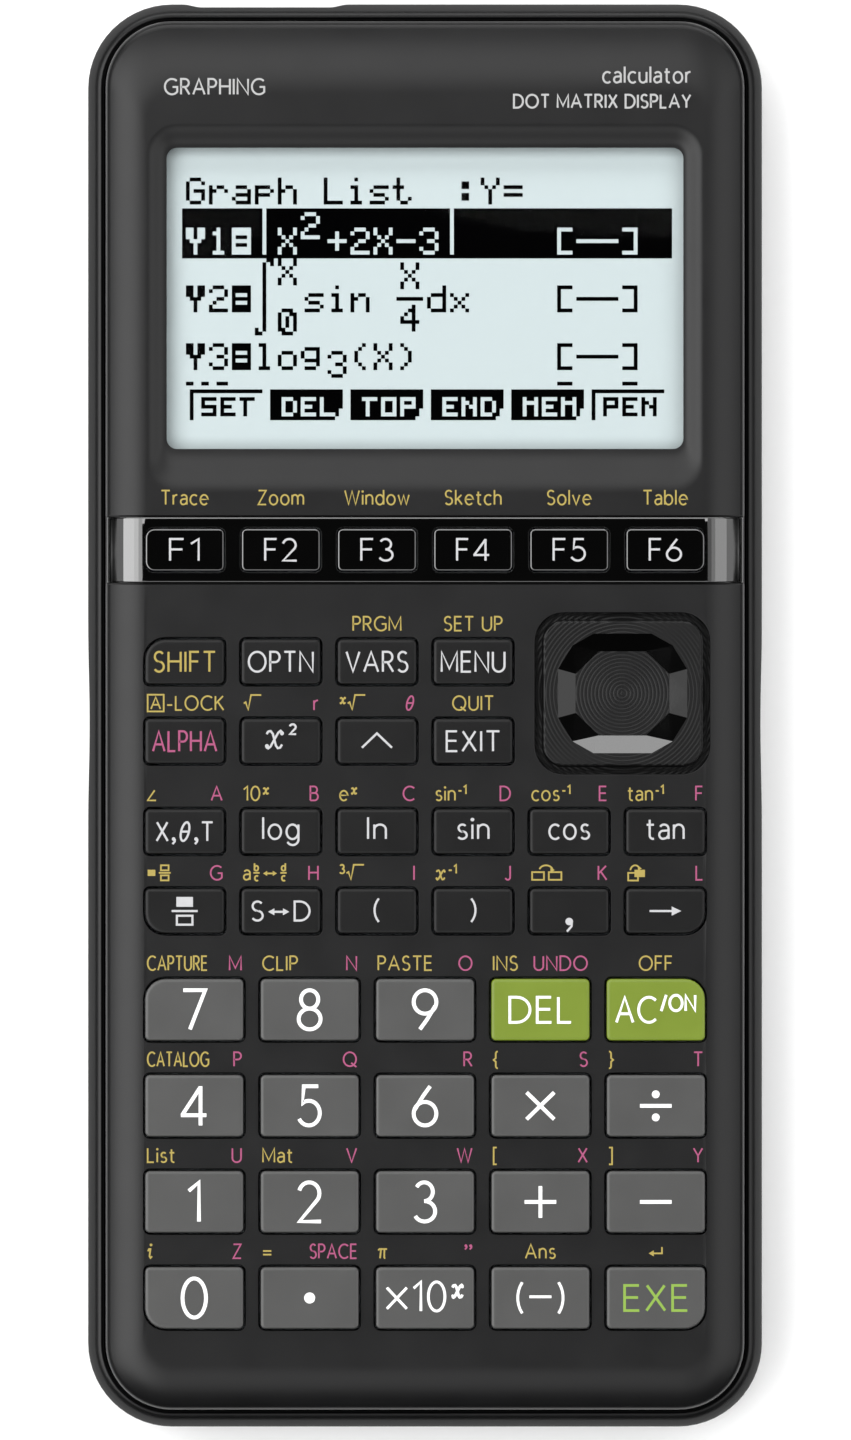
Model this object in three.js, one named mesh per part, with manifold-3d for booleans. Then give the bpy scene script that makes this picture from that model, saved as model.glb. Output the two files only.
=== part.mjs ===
// Graphing calculator: two moulded shells around a dot matrix display, a silicone key mat with its circuit
// board, 46 separate key caps, a four-way cursor pad, four AAA cells under a battery cover, and two sockets.
// Millimetres. It lies on its back: +Z is up out of the keys, +Y points to the display end, +X to the right.
// The origin is the middle of the flat underside.
import * as THREE from "three";
import { mergeVertices } from "three/addons/utils/BufferGeometryUtils.js";
import Module from "manifold-3d";

const wasm = await Module();
wasm.setup();

// ---- Driving dimensions ----
const bodyWidth = 83.4;
const bodyLength = 176.0;
const bodyCorner = 10.4;
const pastCut = 1.0; // how far a cutter runs past the surface it opens
const fitGap = 0.2; // general clearance between neighbouring pieces

// Front case: a crowned shell that drops inside the rear case.
const frontInset = 2.25; // rear case outline to front case outline
const frontWall = 1.8;
const skirtLap = 2.7; // how far the front case reaches down inside the rear case
const crownDrop = 1.6;
const crownEdge = 0.4; // height of the small bevel at the foot of the crown
const crownEdgeShare = 0.06; // and its share of the crown's width
const crownSide = 5.2;
const crownTop = 9.0;
const crownBottom = 5.7;
const crownSteps = 6;

// Rear case.
const rearFloor = 1.8;
const rearWall = 2.0;
const ridgeBelowFace = 4.0; // top edge of the rear case, which shows beside the front case
const ridgeInset = 1.45;
const grooveInset = 1.75;
const grooveDepth = 1.3;
const rearFoot = [[3.4, 0], [1.5, 0.9], [0.5, 2.4], [0, 4.6]]; // rounded lower edge: inset and height
const gripLength = 27.0; // shallow thumb hollow in each flank
const gripDepth = 0.2;
const gripCentreY = -1.0;

// Display, placed from the top end.
const windowWidth = 63.8;
const windowHeight = 37.2;
const windowCorner = 1.3;
const windowFromTop = 17.9;
const windowSink = 0.7; // depth of the bezel where it meets the window opening
const windowLens = 0.8;
const windowOverlap = 1.6; // how far the lens reaches under the case, on each side
const lensGap = 0.1;
const bezelSide = 2.5;
const bezelTop = 3.0;
const bezelBottom = 5.5;
const lcdGlass = 1.25;
const lcdOverlap = 1.9;
const lcdLedge = 0.6; // the lower glass runs past the upper one
const lcdAbove = 0.15; // glass to lens
const lcdBelow = 0.3; // glass to battery compartment

// Key block, placed from the bottom end and from the sides.
const keyFromSide = 7.175;
const keyFromBottom = 12.35;
const keySpacing = 2.11; // between neighbours in a row
const rowSpacing = 4.25; // between rows, with room for the legends
const blockSpacing = 5.6; // between blocks of rows
const stripSpacing = 6.95; // top row of small keys to the glossy strip
const smallColumns = 6;
const smallLength = 5.55;
const smallRise = 0.75;
const largeColumns = 5;
const largeLength = 7.6;
const largeRise = 1.0;
const functionLength = 5.14;
const functionSide = 0.08; // function keys are this much narrower, on each side, than the keys below them
const keyCorner = 0.6;
const keyOuterCorner = 2.5; // the one big round corner on a key at a corner of its block
const functionOuterCorner = 1.1;
const keyBevel = 0.35;
const keyGap = 0.22; // key cap to the edge of its hole
const keyFlangeReach = 0.7;
const keyFlangeThickness = 0.8;
const keyTravel = 0.7;

// Glossy strip that carries the function keys across the front case.
const stripLength = 8.17;
const stripDepth = 0.9; // how far it is let into the case
const stripProud = 0.15;
const stripGap = 0.1;
const stripSteps = 12;

// Cursor pad: two columns wide, beside the upper rows of small keys.
const padWellLength = 19.9;
const padOffset = [0.65, 1.0]; // pad centre, from the middle of the columns and rows it stands in for
const padGap = 0.85;
const padCorner = 2.7;
const padRise = 0.9;
const padBevel = 0.5;
const padFlangeReach = 0.6; // past the edge of the hole
const padFlangeThickness = 0.7;
const padFlangeDrop = 1.0; // flange below the case's inner face, which leaves room to rock
const padDish = 1.25; // depth of the faceted dish
const padPostRadius = 1.8;
// One quarter of the dish's rim and of its floor, as shares of the pad's half sizes.
const dishRim = [[0.80, 0.33], [0.62, 0.65], [0.36, 0.81]];
const dishFloor = [[0.58, 0.265], [0.29, 0.57]];

// Key mat and circuit board.
const matThickness = 0.5;
const domeHeight = 0.7;
const domeRadius = 2.2;
const domeTaper = 0.55;
const domeSlack = 0.35; // pressed key flange to its dome
const boardThickness = 1.0;
const boardFromSide = 5.7;
const boardFromBottom = 10.8;
const boardFromTub = 0.6;
const chips = [
  { place: [0, -6], half: [8, 8], height: 1.6 },
  { place: [19, -4], half: [5, 4], height: 1.1 },
];

// Batteries, AAA.
const cellRadius = 5.25;
const cellLength = 44.5;
const cellNub = 1.0;
const cellNubRadius = 1.9;
const cellTouch = 0.1; // neighbouring cells press together
const cellCount = 4;
const compartmentSide = 0.8;
const compartmentEnds = 5.3; // room for the contact springs
const compartmentFromSockets = 3.0;
const tubWall = 1.2;
const tubCeiling = 0.7;

// Battery cover.
const coverThickness = 1.45;
const coverRecess = 0.15; // cover face above the resting plane
const coverMargin = 4.0; // cover past the compartment, on each side
const coverEndMargin = 2.7;
const coverCorner = 3.0;
const coverEase = 0.3;
const frameThickness = 1.5; // stiffening frame around the battery opening
const frameMargin = 2.0;
const tabWidth = 5.0;
const tabSpacing = 30.0;
const tabThickness = 0.9;
const tabReach = 2.1;
const tabRoot = 1.7;
const tabPlay = 0.5;
const tabSwing = 1.6; // room behind the tabs for the cover to swing open
const tabSlotRoom = 3.2; // height of the slots the tabs swing in
const latchWidth = 12.0;
const latchLength = 5.0;
const latchSlot = 0.8;
// Finger hollow beside the latch.
const scoop = { radius: 9.0, flatten: [1, 0.6, 0.28], offset: 2.0, below: 1.2 };

// Screw bosses.
const bossRadius = 2.6;
const bossSplit = 7.0; // height where front and rear bosses meet
const bossFromCorner = [10.7, 8.5]; // boss at the display end, in from the side and from the end
const bossFromLowCorner = [10.7, 7.6];
const bossBesideBoard = [8.2, 0.8]; // middle boss, in from the side and above the board's edge
const pilotRadius = 0.8;
const pilotLength = 6.0;
const screwHoleRadius = 1.2;
const screwHeadRadius = 2.1;
const screwHeadDepth = 3.0;

// Sockets in the top end, inside a shallow hollow.
const portHollow = { centreX: -19.7, width: 20.8, depth: 0.4, ease: 2.5 };
const usb = { x: -14.5, width: 7.7, height: 3.9, length: 8.0, wall: 0.3, corner: 0.7 };
const usbTongue = { width: 4.4, height: 1.1, length: 5.5 };
const link = { x: -24.2, radius: 2.8, bore: 1.3, length: 7.6 };
const portRecess = 0.6; // socket mouth behind the hollow's face
const portPlay = 0.3; // socket to the hole it shows through
const portBelowSkirt = 0.4; // sockets below the front case

// Restart button, reached through a small hole in the back.
const restartFromSide = 13.7;
const restartFromBoardTop = 12.4;
const restartRadius = 0.9;
const restartFlange = 1.7;
const restartFlangeThickness = 0.8;
const restartTravel = 0.4;
const restartRecess = 0.8;
const restartSwitch = { half: 2.0, height: 1.2 };

// ---- Heights, stacked up from the battery cover to the face ----
const coverTop = coverRecess + coverThickness;
const recessTop = coverTop + fitGap / 2;
const cellHeight = coverTop + fitGap + cellRadius;
const tubInside = cellHeight + cellRadius + fitGap;
const lcdTop = tubInside + tubCeiling + lcdBelow + lcdGlass;
const lensTop = lcdTop + lcdAbove + windowLens;
const frontUnderside = lensTop + lensGap;
const faceHeight = frontUnderside + frontWall;
const ridgeHeight = faceHeight - ridgeBelowFace;
const frontSkirt = ridgeHeight - skirtLap;
const keyFlangeTop = frontUnderside - fitGap;
const keyFlangeBottom = keyFlangeTop - keyFlangeThickness;
const matTop = keyFlangeBottom - keyTravel - domeSlack - domeHeight;
const boardTop = matTop - matThickness - fitGap;
const boardUnderside = boardTop - boardThickness;
const padFlangeTop = frontUnderside - padFlangeDrop;
const padFlangeBottom = padFlangeTop - padFlangeThickness;
const padTop = faceHeight + padRise;
const portHeight = frontSkirt - portBelowSkirt - link.radius;

// ---- Places worked out along and across the body ----
const topEnd = bodyLength / 2;
const bottomEnd = -bodyLength / 2;
const frontHalf = bodyWidth / 2 - frontInset;
const windowCentreY = topEnd - windowFromTop - windowHeight / 2;
const socketMouth = topEnd - portHollow.depth - portRecess;
const compartmentTop = socketMouth - usb.length - compartmentFromSockets;
const compartmentLength = cellLength + compartmentEnds;
const compartmentLow = compartmentTop - compartmentLength;
const compartmentY = compartmentTop - compartmentLength / 2;
const cellPitch = 2 * cellRadius - cellTouch;
const compartmentWidth = (cellCount - 1) * cellPitch + 2 * (cellRadius + compartmentSide);
const coverWidth = compartmentWidth + 2 * coverMargin;
const coverLength = compartmentLength + 2 * coverEndMargin;
const coverTopY = compartmentY + coverLength / 2;
const coverLowY = compartmentY - coverLength / 2;
const boardTopY = compartmentLow - tubWall - boardFromTub;
const boardLowY = bottomEnd + boardFromBottom;
const boardHalfWidth = bodyWidth / 2 - boardFromSide;
const restartPlace = [restartFromSide - bodyWidth / 2, boardTopY - restartFromBoardTop];
const bossPlaces = [
  [bodyWidth / 2 - bossFromCorner[0], topEnd - bossFromCorner[1]],
  [bodyWidth / 2 - bossBesideBoard[0], boardTopY + bossBesideBoard[1] + bossRadius],
  [bodyWidth / 2 - bossFromLowCorner[0], bottomEnd + bossFromLowCorner[1]],
];
const keyBlockWidth = bodyWidth - 2 * keyFromSide;
const columnWidth = (columns) => (keyBlockWidth - (columns - 1) * keySpacing) / columns;
const smallWidth = columnWidth(smallColumns);
const smallKey = { width: smallWidth, height: smallLength, rise: smallRise };
const largeKey = { width: columnWidth(largeColumns), height: largeLength, rise: largeRise };
const functionKey = { width: smallWidth - 2 * functionSide, height: functionLength, rise: smallRise };
const lastRowY = bottomEnd + keyFromBottom + largeLength / 2;
const largeRowsY = [3, 2, 1, 0].map((i) => lastRowY + i * (largeLength + rowSpacing));
const fourthRowY = largeRowsY[0] + largeLength / 2 + blockSpacing + smallLength / 2;
const thirdRowY = fourthRowY + smallLength + rowSpacing;
const secondRowY = thirdRowY + smallLength + blockSpacing;
const firstRowY = secondRowY + smallLength + rowSpacing;
const smallRowsY = [firstRowY, secondRowY, thirdRowY, fourthRowY];
const stripY = firstRowY + smallLength / 2 + stripSpacing + stripLength / 2;
const padWellWidth = 2 * smallWidth + keySpacing;
const padWidth = padWellWidth - 2 * padGap;
const padLength = padWellLength - 2 * padGap;
const padCentre = [
  (keyBlockWidth - padWellWidth) / 2 + padOffset[0],
  (firstRowY + secondRowY) / 2 + padOffset[1],
];

// ---- Colours ----
function finish(color, roughness, metalness = 0) {
  return new THREE.MeshStandardMaterial({ color, roughness, metalness });
}

const finishes = {
  caseBlack: finish(0x2e2e2f, 0.55),
  glossBlack: finish(0x050506, 0.08),
  darkKey: finish(0x222223, 0.45),
  greyKey: finish(0x646462, 0.45),
  greenKey: finish(0x8aa53c, 0.45),
  padBlack: finish(0x202020, 0.25),
  lens: finish(0xdfe8e8, 0.05),
  lcd: finish(0xd5e1e1, 0.4),
  silicone: finish(0x8d9296, 0.7),
  board: finish(0x1d5b35, 0.5),
  cell: finish(0x3a4650, 0.35, 0.4),
  metal: finish(0xb9bcc0, 0.3, 1.0),
};

// ---- Geometry helpers ----

// Closed outline of a rectangle. Its corner radii run top right, top left, bottom left, bottom right.
function roundedOutline(width, height, corners, centre = [0, 0], divisions = 1) {
  const r = Array.isArray(corners) ? corners : [corners, corners, corners, corners];
  const [x, y] = [width / 2, height / 2];
  const path = new THREE.Path();
  path.absarc(x - r[0], y - r[0], r[0], 0, Math.PI / 2);
  path.absarc(-x + r[1], y - r[1], r[1], Math.PI / 2, Math.PI);
  path.absarc(-x + r[2], -y + r[2], r[2], Math.PI, Math.PI * 1.5);
  path.absarc(x - r[3], -y + r[3], r[3], Math.PI * 1.5, Math.PI * 2);
  return path.getPoints(divisions).map((p) => new THREE.Vector2(p.x + centre[0], p.y + centre[1]));
}

// A closed body through outlines of equal point counts, each { outline, z }, from the lowest up.
function loft(levels) {
  const count = levels[0].outline.length;
  const positions = levels.flatMap(({ outline, z }) => outline.flatMap((p) => [p.x, p.y, z]));
  const index = [];
  for (let level = 0; level + 1 < levels.length; level++) {
    for (let i = 0; i < count; i++) {
      const [a, b] = [level * count + i, level * count + ((i + 1) % count)];
      index.push(a, b, b + count, a, b + count, a + count);
    }
  }
  const top = (levels.length - 1) * count;
  for (const [i, j, k] of THREE.ShapeUtils.triangulateShape(levels[0].outline, [])) index.push(k, j, i);
  for (const [i, j, k] of THREE.ShapeUtils.triangulateShape(levels.at(-1).outline, [])) {
    index.push(top + i, top + j, top + k);
  }
  const geometry = new THREE.BufferGeometry();
  geometry.setAttribute("position", new THREE.Float32BufferAttribute(positions, 3));
  return geometry.setIndex(index);
}

function prism(points, bottom, top) {
  const outline = THREE.ShapeUtils.isClockWise(points) ? [...points].reverse() : points;
  return loft([{ outline, z: bottom }, { outline, z: top }]);
}

// An upright cylinder or cone.
function post(radius, bottom, top, [x, y], sides = 12, topRadius = radius) {
  const geometry = new THREE.CylinderGeometry(topRadius, radius, top - bottom, sides);
  return geometry.rotateX(Math.PI / 2).translate(x, y, (bottom + top) / 2);
}

// A cylinder lying along Y.
function rod(radius, low, high, [x, z], sides = 16) {
  return new THREE.CylinderGeometry(radius, radius, high - low, sides).translate(x, (low + high) / 2, z);
}

function block([x0, x1], [y0, y1], [z0, z1]) {
  const box = new THREE.BoxGeometry(x1 - x0, y1 - y0, z1 - z0);
  return box.translate((x0 + x1) / 2, (y0 + y1) / 2, (z0 + z1) / 2);
}

// An outline drawn in the XZ plane, run along Y between two places.
function alongY(points, low, high) {
  const shape = new THREE.Shape(points);
  const geometry = new THREE.ExtrudeGeometry(shape, { depth: high - low, bevelEnabled: false });
  return geometry.rotateX(Math.PI / 2).translate(0, high, 0);
}

function solid(geometry) {
  const plain = new THREE.BufferGeometry();
  plain.setAttribute("position", geometry.getAttribute("position").clone());
  if (geometry.index) plain.setIndex(geometry.index.clone());
  const merged = mergeVertices(plain, 1e-4);
  return new wasm.Manifold(new wasm.Mesh({
    numProp: 3,
    vertProperties: merged.getAttribute("position").array,
    triVerts: new Uint32Array(merged.index.array),
  }));
}

const joined = (geometries) => geometries.map(solid).reduce((all, next) => all.add(next));

function meshOf(name, shape, material) {
  let geometry = shape;
  if (!shape.isBufferGeometry) {
    const { vertProperties, triVerts } = shape.getMesh();
    geometry = new THREE.BufferGeometry();
    geometry.setAttribute("position", new THREE.Float32BufferAttribute(vertProperties, 3));
    geometry.setIndex(new THREE.Uint32BufferAttribute(triVerts, 1));
  }
  geometry.computeVertexNormals();
  const mesh = new THREE.Mesh(geometry, material);
  mesh.name = name;
  return mesh;
}

const mirrored = (places) => places.flatMap(([x, y]) => [[x, y], [-x, y]]);

// ---- Outlines shared by the two cases ----

// The body outline brought in by one distance on the sides and by others at the top and bottom ends.
function bodyOutline(side, top = side, bottom = side, divisions = 3) {
  const width = bodyWidth - 2 * side;
  const height = bodyLength - top - bottom;
  const corner = Math.max(bodyCorner - side, 1.5);
  return roundedOutline(width, height, corner, [0, (bottom - top) / 2], divisions);
}

// How far the crown lies below the level face, at a share of its width in from the edge.
function crownFall(share) {
  const bevel = crownEdge * Math.max(1 - share / crownEdgeShare, 0);
  return crownDrop * (1 - share) ** 2 + bevel;
}

// Height of the crowned face across the body, at a distance from the middle.
function crownHeight(x) {
  const share = Math.min(Math.max((frontHalf - Math.abs(x)) / crownSide, 0), 1);
  return faceHeight - crownFall(share);
}

function crownLevels(inset, side, top, bottom, height) {
  const shares = [0, ...Array.from({ length: crownSteps }, (_, i) => (
    crownEdgeShare + ((1 - crownEdgeShare) * i) / (crownSteps - 1)))];
  return shares.map((share) => {
    const outline = bodyOutline(inset + side * share, inset + top * share, inset + bottom * share);
    return { outline, z: height - crownFall(share) };
  });
}

// ---- Keys: name, then the big corners (0 top right, 1 top left, 2 bottom left, 3 bottom right) ----
const functionKeys = [["key_f1", 1, 2], ["key_f2"], ["key_f3"], ["key_f4"], ["key_f5"], ["key_f6", 0, 3]];
const smallKeys = [
  [["key_shift", 1], ["key_option"], ["key_variables"], ["key_menu"]],
  [["key_alpha"], ["key_square"], ["key_power"], ["key_exit"]],
  [["key_unknown"], ["key_log"], ["key_ln"], ["key_sin"], ["key_cos"], ["key_tan"]],
  [["key_fraction", 2], ["key_convert"], ["key_bracket_open"], ["key_bracket_close"], ["key_comma"],
    ["key_store", 3]],
];
const largeKeys = [
  [["key_7", 1], ["key_8"], ["key_9"], ["key_delete"], ["key_clear", 0]],
  [["key_4"], ["key_5"], ["key_6"], ["key_multiply"], ["key_divide"]],
  [["key_1"], ["key_2"], ["key_3"], ["key_plus"], ["key_minus"]],
  [["key_0", 2], ["key_point"], ["key_exponent"], ["key_negate"], ["key_execute", 3]],
];
const greenKeys = ["key_delete", "key_clear"];

function keyRow(names, y, columns, size, bigCorner, material) {
  const pitch = columnWidth(columns) + keySpacing;
  return names.map(([name, ...big], column) => {
    const corners = [0, 1, 2, 3].map((corner) => (big.includes(corner) ? bigCorner : keyCorner));
    const x = (column - (columns - 1) / 2) * pitch;
    const colour = greenKeys.includes(name) ? finishes.greenKey : material;
    return { name, centre: [x, y], size, corners, material: colour };
  });
}

const keys = [
  ...keyRow(functionKeys, stripY, smallColumns, functionKey, functionOuterCorner, finishes.glossBlack),
  ...smallKeys.flatMap((row, i) => (
    keyRow(row, smallRowsY[i], smallColumns, smallKey, keyOuterCorner, finishes.darkKey))),
  ...largeKeys.flatMap((row, i) => (
    keyRow(row, largeRowsY[i], largeColumns, largeKey, keyOuterCorner, finishes.greyKey))),
];

function keyOutline(key, grow) {
  const { width, height } = key.size;
  const corners = key.corners.map((r) => Math.max(r + grow, 0.2));
  return roundedOutline(width + 2 * grow, height + 2 * grow, corners, key.centre);
}

// A cap with a flange that stops it against the inside of the case.
function keyCap(key) {
  const top = faceHeight + key.size.rise;
  const flange = keyOutline(key, keyFlangeReach);
  const cap = keyOutline(key, 0);
  return loft([
    { outline: flange, z: keyFlangeBottom },
    { outline: flange, z: keyFlangeTop },
    { outline: cap, z: keyFlangeTop },
    { outline: cap, z: top - keyBevel },
    { outline: keyOutline(key, -keyBevel), z: top },
  ]);
}

const keyHole = (key) => prism(keyOutline(key, keyGap), frontUnderside - pastCut, faceHeight + pastCut);

// ---- Cases ----

function displayCutters() {
  const opening = roundedOutline(windowWidth, windowHeight, windowCorner, [0, windowCentreY]);
  const bezelOutline = (share) => roundedOutline(
    windowWidth + 2 * bezelSide * share,
    windowHeight + (bezelTop + bezelBottom) * share,
    windowCorner + bezelSide * share,
    [0, windowCentreY + ((bezelTop - bezelBottom) / 2) * share],
  );
  const above = 1 + pastCut / windowSink;
  return [
    prism(opening, frontUnderside - pastCut, faceHeight + pastCut),
    loft([{ outline: bezelOutline(0), z: faceHeight - windowSink },
      { outline: bezelOutline(above), z: faceHeight + pastCut }]),
  ];
}

// The section of the strip, or of the channel it lies in, between two distances from the crowned face.
function stripSection(below, above, edge) {
  const bevelStart = frontHalf - crownSide * crownEdgeShare;
  const xs = Array.from({ length: stripSteps }, (_, i) => (
    frontHalf - crownSide + ((bevelStart - frontHalf + crownSide) * i) / (stripSteps - 1)));
  xs.push(Math.min(edge, frontHalf));
  if (edge > frontHalf) xs.push(edge);
  const half = (offset) => xs.map((x) => [x, crownHeight(x) + offset]);
  const across = (offset) => [...half(offset).reverse(), ...half(offset).map(([x, z]) => [-x, z])];
  const open = [[edge, faceHeight + pastCut], [-edge, faceHeight + pastCut]];
  const upper = above === null ? open : across(above);
  return [...upper.map(([x, z]) => new THREE.Vector2(x, z)),
    ...across(below).reverse().map(([x, z]) => new THREE.Vector2(x, z))];
}

function frontCase() {
  const outer = crownLevels(frontInset, crownSide, crownTop, crownBottom, faceHeight);
  const skirt = { outline: bodyOutline(frontInset), z: frontSkirt };
  const cavity = crownLevels(frontInset + frontWall, crownSide - frontWall, crownTop - frontWall,
    crownBottom - frontWall, frontUnderside);
  const cavityMouth = { outline: bodyOutline(frontInset + frontWall), z: frontSkirt - pastCut };
  const halfStrip = stripLength / 2 + stripGap;
  const bosses = mirrored(bossPlaces);
  let shell = solid(loft([skirt, ...outer])).subtract(solid(loft([cavityMouth, ...cavity])));
  for (const place of bosses) {
    shell = shell.add(solid(post(bossRadius, bossSplit, frontUnderside + frontWall / 2, place)));
  }
  const edge = frontHalf + pastCut;
  const cutters = [
    ...displayCutters(),
    alongY(stripSection(-stripDepth - stripGap, null, edge), stripY - halfStrip, stripY + halfStrip),
    ...keys.map(keyHole),
    prism(padOutline(padGap), frontUnderside - pastCut, faceHeight + pastCut),
    ...bosses.map((place) => post(pilotRadius, bossSplit - pastCut, bossSplit + pilotLength, place, 8)),
  ];
  return cutters.reduce((left, cutter) => left.subtract(solid(cutter)), shell);
}

function functionKeyStrip() {
  const band = alongY(stripSection(-stripDepth, stripProud, frontHalf - fitGap), stripY - stripLength / 2,
    stripY + stripLength / 2);
  const holes = keys.filter((key) => key.size === functionKey).map(keyHole);
  return holes.reduce((left, hole) => left.subtract(solid(hole)), solid(band));
}

function rearShell() {
  const grooveHeight = ridgeHeight - grooveDepth;
  const profile = [...rearFoot, [0, ridgeHeight - 2.3], [0.25, ridgeHeight - 1.1], [1.0, ridgeHeight - 0.3],
    [ridgeInset, ridgeHeight]];
  const [[footInset], , , [, footTop]] = rearFoot;
  const hollow = [[footInset + rearWall, rearFloor], [rearWall + 0.2, footTop],
    [rearWall, grooveHeight - 0.2], [grooveInset, grooveHeight], [grooveInset, ridgeHeight + pastCut]];
  const levels = (rows) => rows.map(([inset, z]) => ({ outline: bodyOutline(inset), z }));
  return solid(loft(levels(profile))).subtract(solid(loft(levels(hollow))));
}

// A shallow circular hollow for the thumb in one flank: 1 for the right, -1 for the left.
function gripCutter(side) {
  const radius = (gripLength * gripLength) / 8 / gripDepth;
  const halfTurn = Math.asin(gripLength / 2 / radius);
  const centreX = bodyWidth / 2 - gripDepth + radius;
  const curve = new THREE.Path();
  curve.absarc(centreX, gripCentreY, radius, Math.PI - halfTurn, Math.PI + halfTurn);
  const points = [...curve.getPoints(4), new THREE.Vector2(bodyWidth / 2 + pastCut, gripCentreY)];
  return prism(points.map((p) => new THREE.Vector2(side * p.x, p.y)), -pastCut, ridgeHeight + pastCut);
}

function portHollowCutter() {
  const { centreX, width, depth, ease } = portHollow;
  const points = [[width / 2, pastCut], [-width / 2, pastCut], [-width / 2, 0], [-width / 2 + ease, -depth],
    [width / 2 - ease, -depth], [width / 2, 0]];
  const outline = points.map(([px, py]) => new THREE.Vector2(px + centreX, py + topEnd));
  return prism(outline, -pastCut, ridgeHeight + pastCut);
}

function rearCase() {
  const halfWidth = compartmentWidth / 2;
  const frame = block([-coverWidth / 2 - frameMargin, coverWidth / 2 + frameMargin],
    [coverLowY - frameMargin, coverTopY + frameMargin], [rearFloor / 2, recessTop + frameThickness]);
  const tub = block([-halfWidth - tubWall, halfWidth + tubWall],
    [compartmentLow - tubWall, compartmentTop + tubWall], [rearFloor / 2, tubInside + tubCeiling]);
  const room = block([-halfWidth, halfWidth], [compartmentLow, compartmentTop], [-pastCut, tubInside]);
  const coverOutline = roundedOutline(coverWidth + 2 * fitGap, coverLength + 2 * fitGap,
    coverCorner + fitGap, [0, compartmentY]);
  const tabSlots = [-1, 1].flatMap((side) => {
    const x = (side * tabSpacing) / 2;
    const across = [x - tabWidth / 2 - tabPlay, x + tabWidth / 2 + tabPlay];
    const slotTop = rearFloor + tabSlotRoom;
    return [
      block(across, [coverTopY - tabRoot - tabSwing, coverTopY + fitGap], [recessTop - fitGap, slotTop]),
      block(across, [coverTopY, coverTopY + tabReach + tabPlay], [rearFloor, slotTop]),
    ];
  });
  const fingerScoop = new THREE.SphereGeometry(scoop.radius, 16, 10).scale(...scoop.flatten)
    .translate(0, coverLowY - scoop.offset, -scoop.below);
  const bosses = mirrored(bossPlaces);
  const throughWall = [topEnd - rearWall - 3 * pastCut, topEnd + pastCut];
  let shell = rearShell().add(solid(frame)).add(solid(tub));
  for (const place of bosses) {
    shell = shell.add(solid(post(bossRadius, rearFloor / 2, bossSplit - fitGap, place)));
  }
  const cutters = [
    room,
    prism(coverOutline, -pastCut, recessTop),
    fingerScoop,
    ...tabSlots,
    ...bosses.map((place) => post(screwHoleRadius, -pastCut, bossSplit + pastCut, place, 10)),
    ...bosses.map((place) => post(screwHeadRadius, -pastCut, screwHeadDepth, place, 16)),
    portHollowCutter(),
    gripCutter(1),
    gripCutter(-1),
    alongY(usbOutline(portPlay), ...throughWall),
    rod(link.radius + portPlay, ...throughWall, [link.x, portHeight]),
    post(restartRadius + fitGap, -pastCut, rearFloor + pastCut, restartPlace, 10),
  ];
  return cutters.reduce((left, cutter) => left.subtract(solid(cutter)), shell);
}

// The cover hooks into the case with two tabs at its display end.
// A sprung tongue at its other end snaps shut.
function batteryCover() {
  const outline = roundedOutline(coverWidth, coverLength, coverCorner, [0, compartmentY]);
  const inner = roundedOutline(coverWidth - 2 * coverEase, coverLength - 2 * coverEase,
    coverCorner - coverEase, [0, compartmentY]);
  const tabHeights = [rearFloor + fitGap, rearFloor + fitGap + tabThickness];
  let cover = solid(loft([{ outline: inner, z: coverRecess }, { outline, z: coverRecess + coverEase },
    { outline, z: coverTop }]));
  for (const side of [-1, 1]) {
    const x = (side * tabSpacing) / 2;
    const across = [x - tabWidth / 2, x + tabWidth / 2];
    const root = block(across, [coverTopY - tabRoot, coverTopY - fitGap], [coverTop / 2, tabHeights[1]]);
    const tab = block(across, [coverTopY - tabRoot, coverTopY + tabReach], tabHeights);
    const slotX = (side * latchWidth) / 2;
    const slot = block([slotX - latchSlot / 2, slotX + latchSlot / 2],
      [coverLowY - pastCut, coverLowY + latchLength], [-pastCut, coverTop + pastCut]);
    cover = cover.add(solid(root)).add(solid(tab)).subtract(solid(slot));
  }
  return cover;
}

// ---- Display ----

function displayWindow() {
  const outline = (grow) => roundedOutline(windowWidth + 2 * grow, windowHeight + 2 * grow,
    windowCorner + grow, [0, windowCentreY]);
  return loft([
    { outline: outline(windowOverlap), z: lensTop - windowLens },
    { outline: outline(windowOverlap), z: lensTop - lensGap },
    { outline: outline(windowOverlap - lensGap), z: lensTop },
  ]);
}

function lcdPanel() {
  const outline = (grow) => roundedOutline(windowWidth + 2 * grow, windowHeight + 2 * grow, 0.5,
    [0, windowCentreY]);
  const middle = lcdTop - lcdGlass / 2;
  return loft([
    { outline: outline(lcdOverlap), z: lcdTop - lcdGlass },
    { outline: outline(lcdOverlap), z: middle },
    { outline: outline(lcdOverlap - lcdLedge), z: middle },
    { outline: outline(lcdOverlap - lcdLedge), z: lcdTop },
  ]);
}

// ---- Key mat and circuit board ----

function keyMat() {
  const across = [-boardHalfWidth, boardHalfWidth];
  const sheet = block(across, [boardLowY, boardTopY], [matTop - matThickness, matTop]);
  const foot = matTop - matThickness / 2;
  const domes = keys.map(({ centre }) => (
    post(domeRadius, foot, matTop + domeHeight, centre, 8, domeRadius * domeTaper)));
  return joined([sheet, ...domes]);
}

function circuitBoard() {
  const across = [-boardHalfWidth, boardHalfWidth];
  const sheet = block(across, [boardLowY, boardTopY], [boardUnderside, boardTop]);
  const under = ([x, y], halfX, halfY, height) => block([x - halfX, x + halfX], [y - halfY, y + halfY],
    [boardUnderside - height, boardUnderside + fitGap]);
  return joined([
    sheet,
    ...chips.map(({ place, half, height }) => under(place, ...half, height)),
    under(restartPlace, restartSwitch.half, restartSwitch.half, restartSwitch.height),
  ]);
}

// ---- Cursor pad ----

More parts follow.
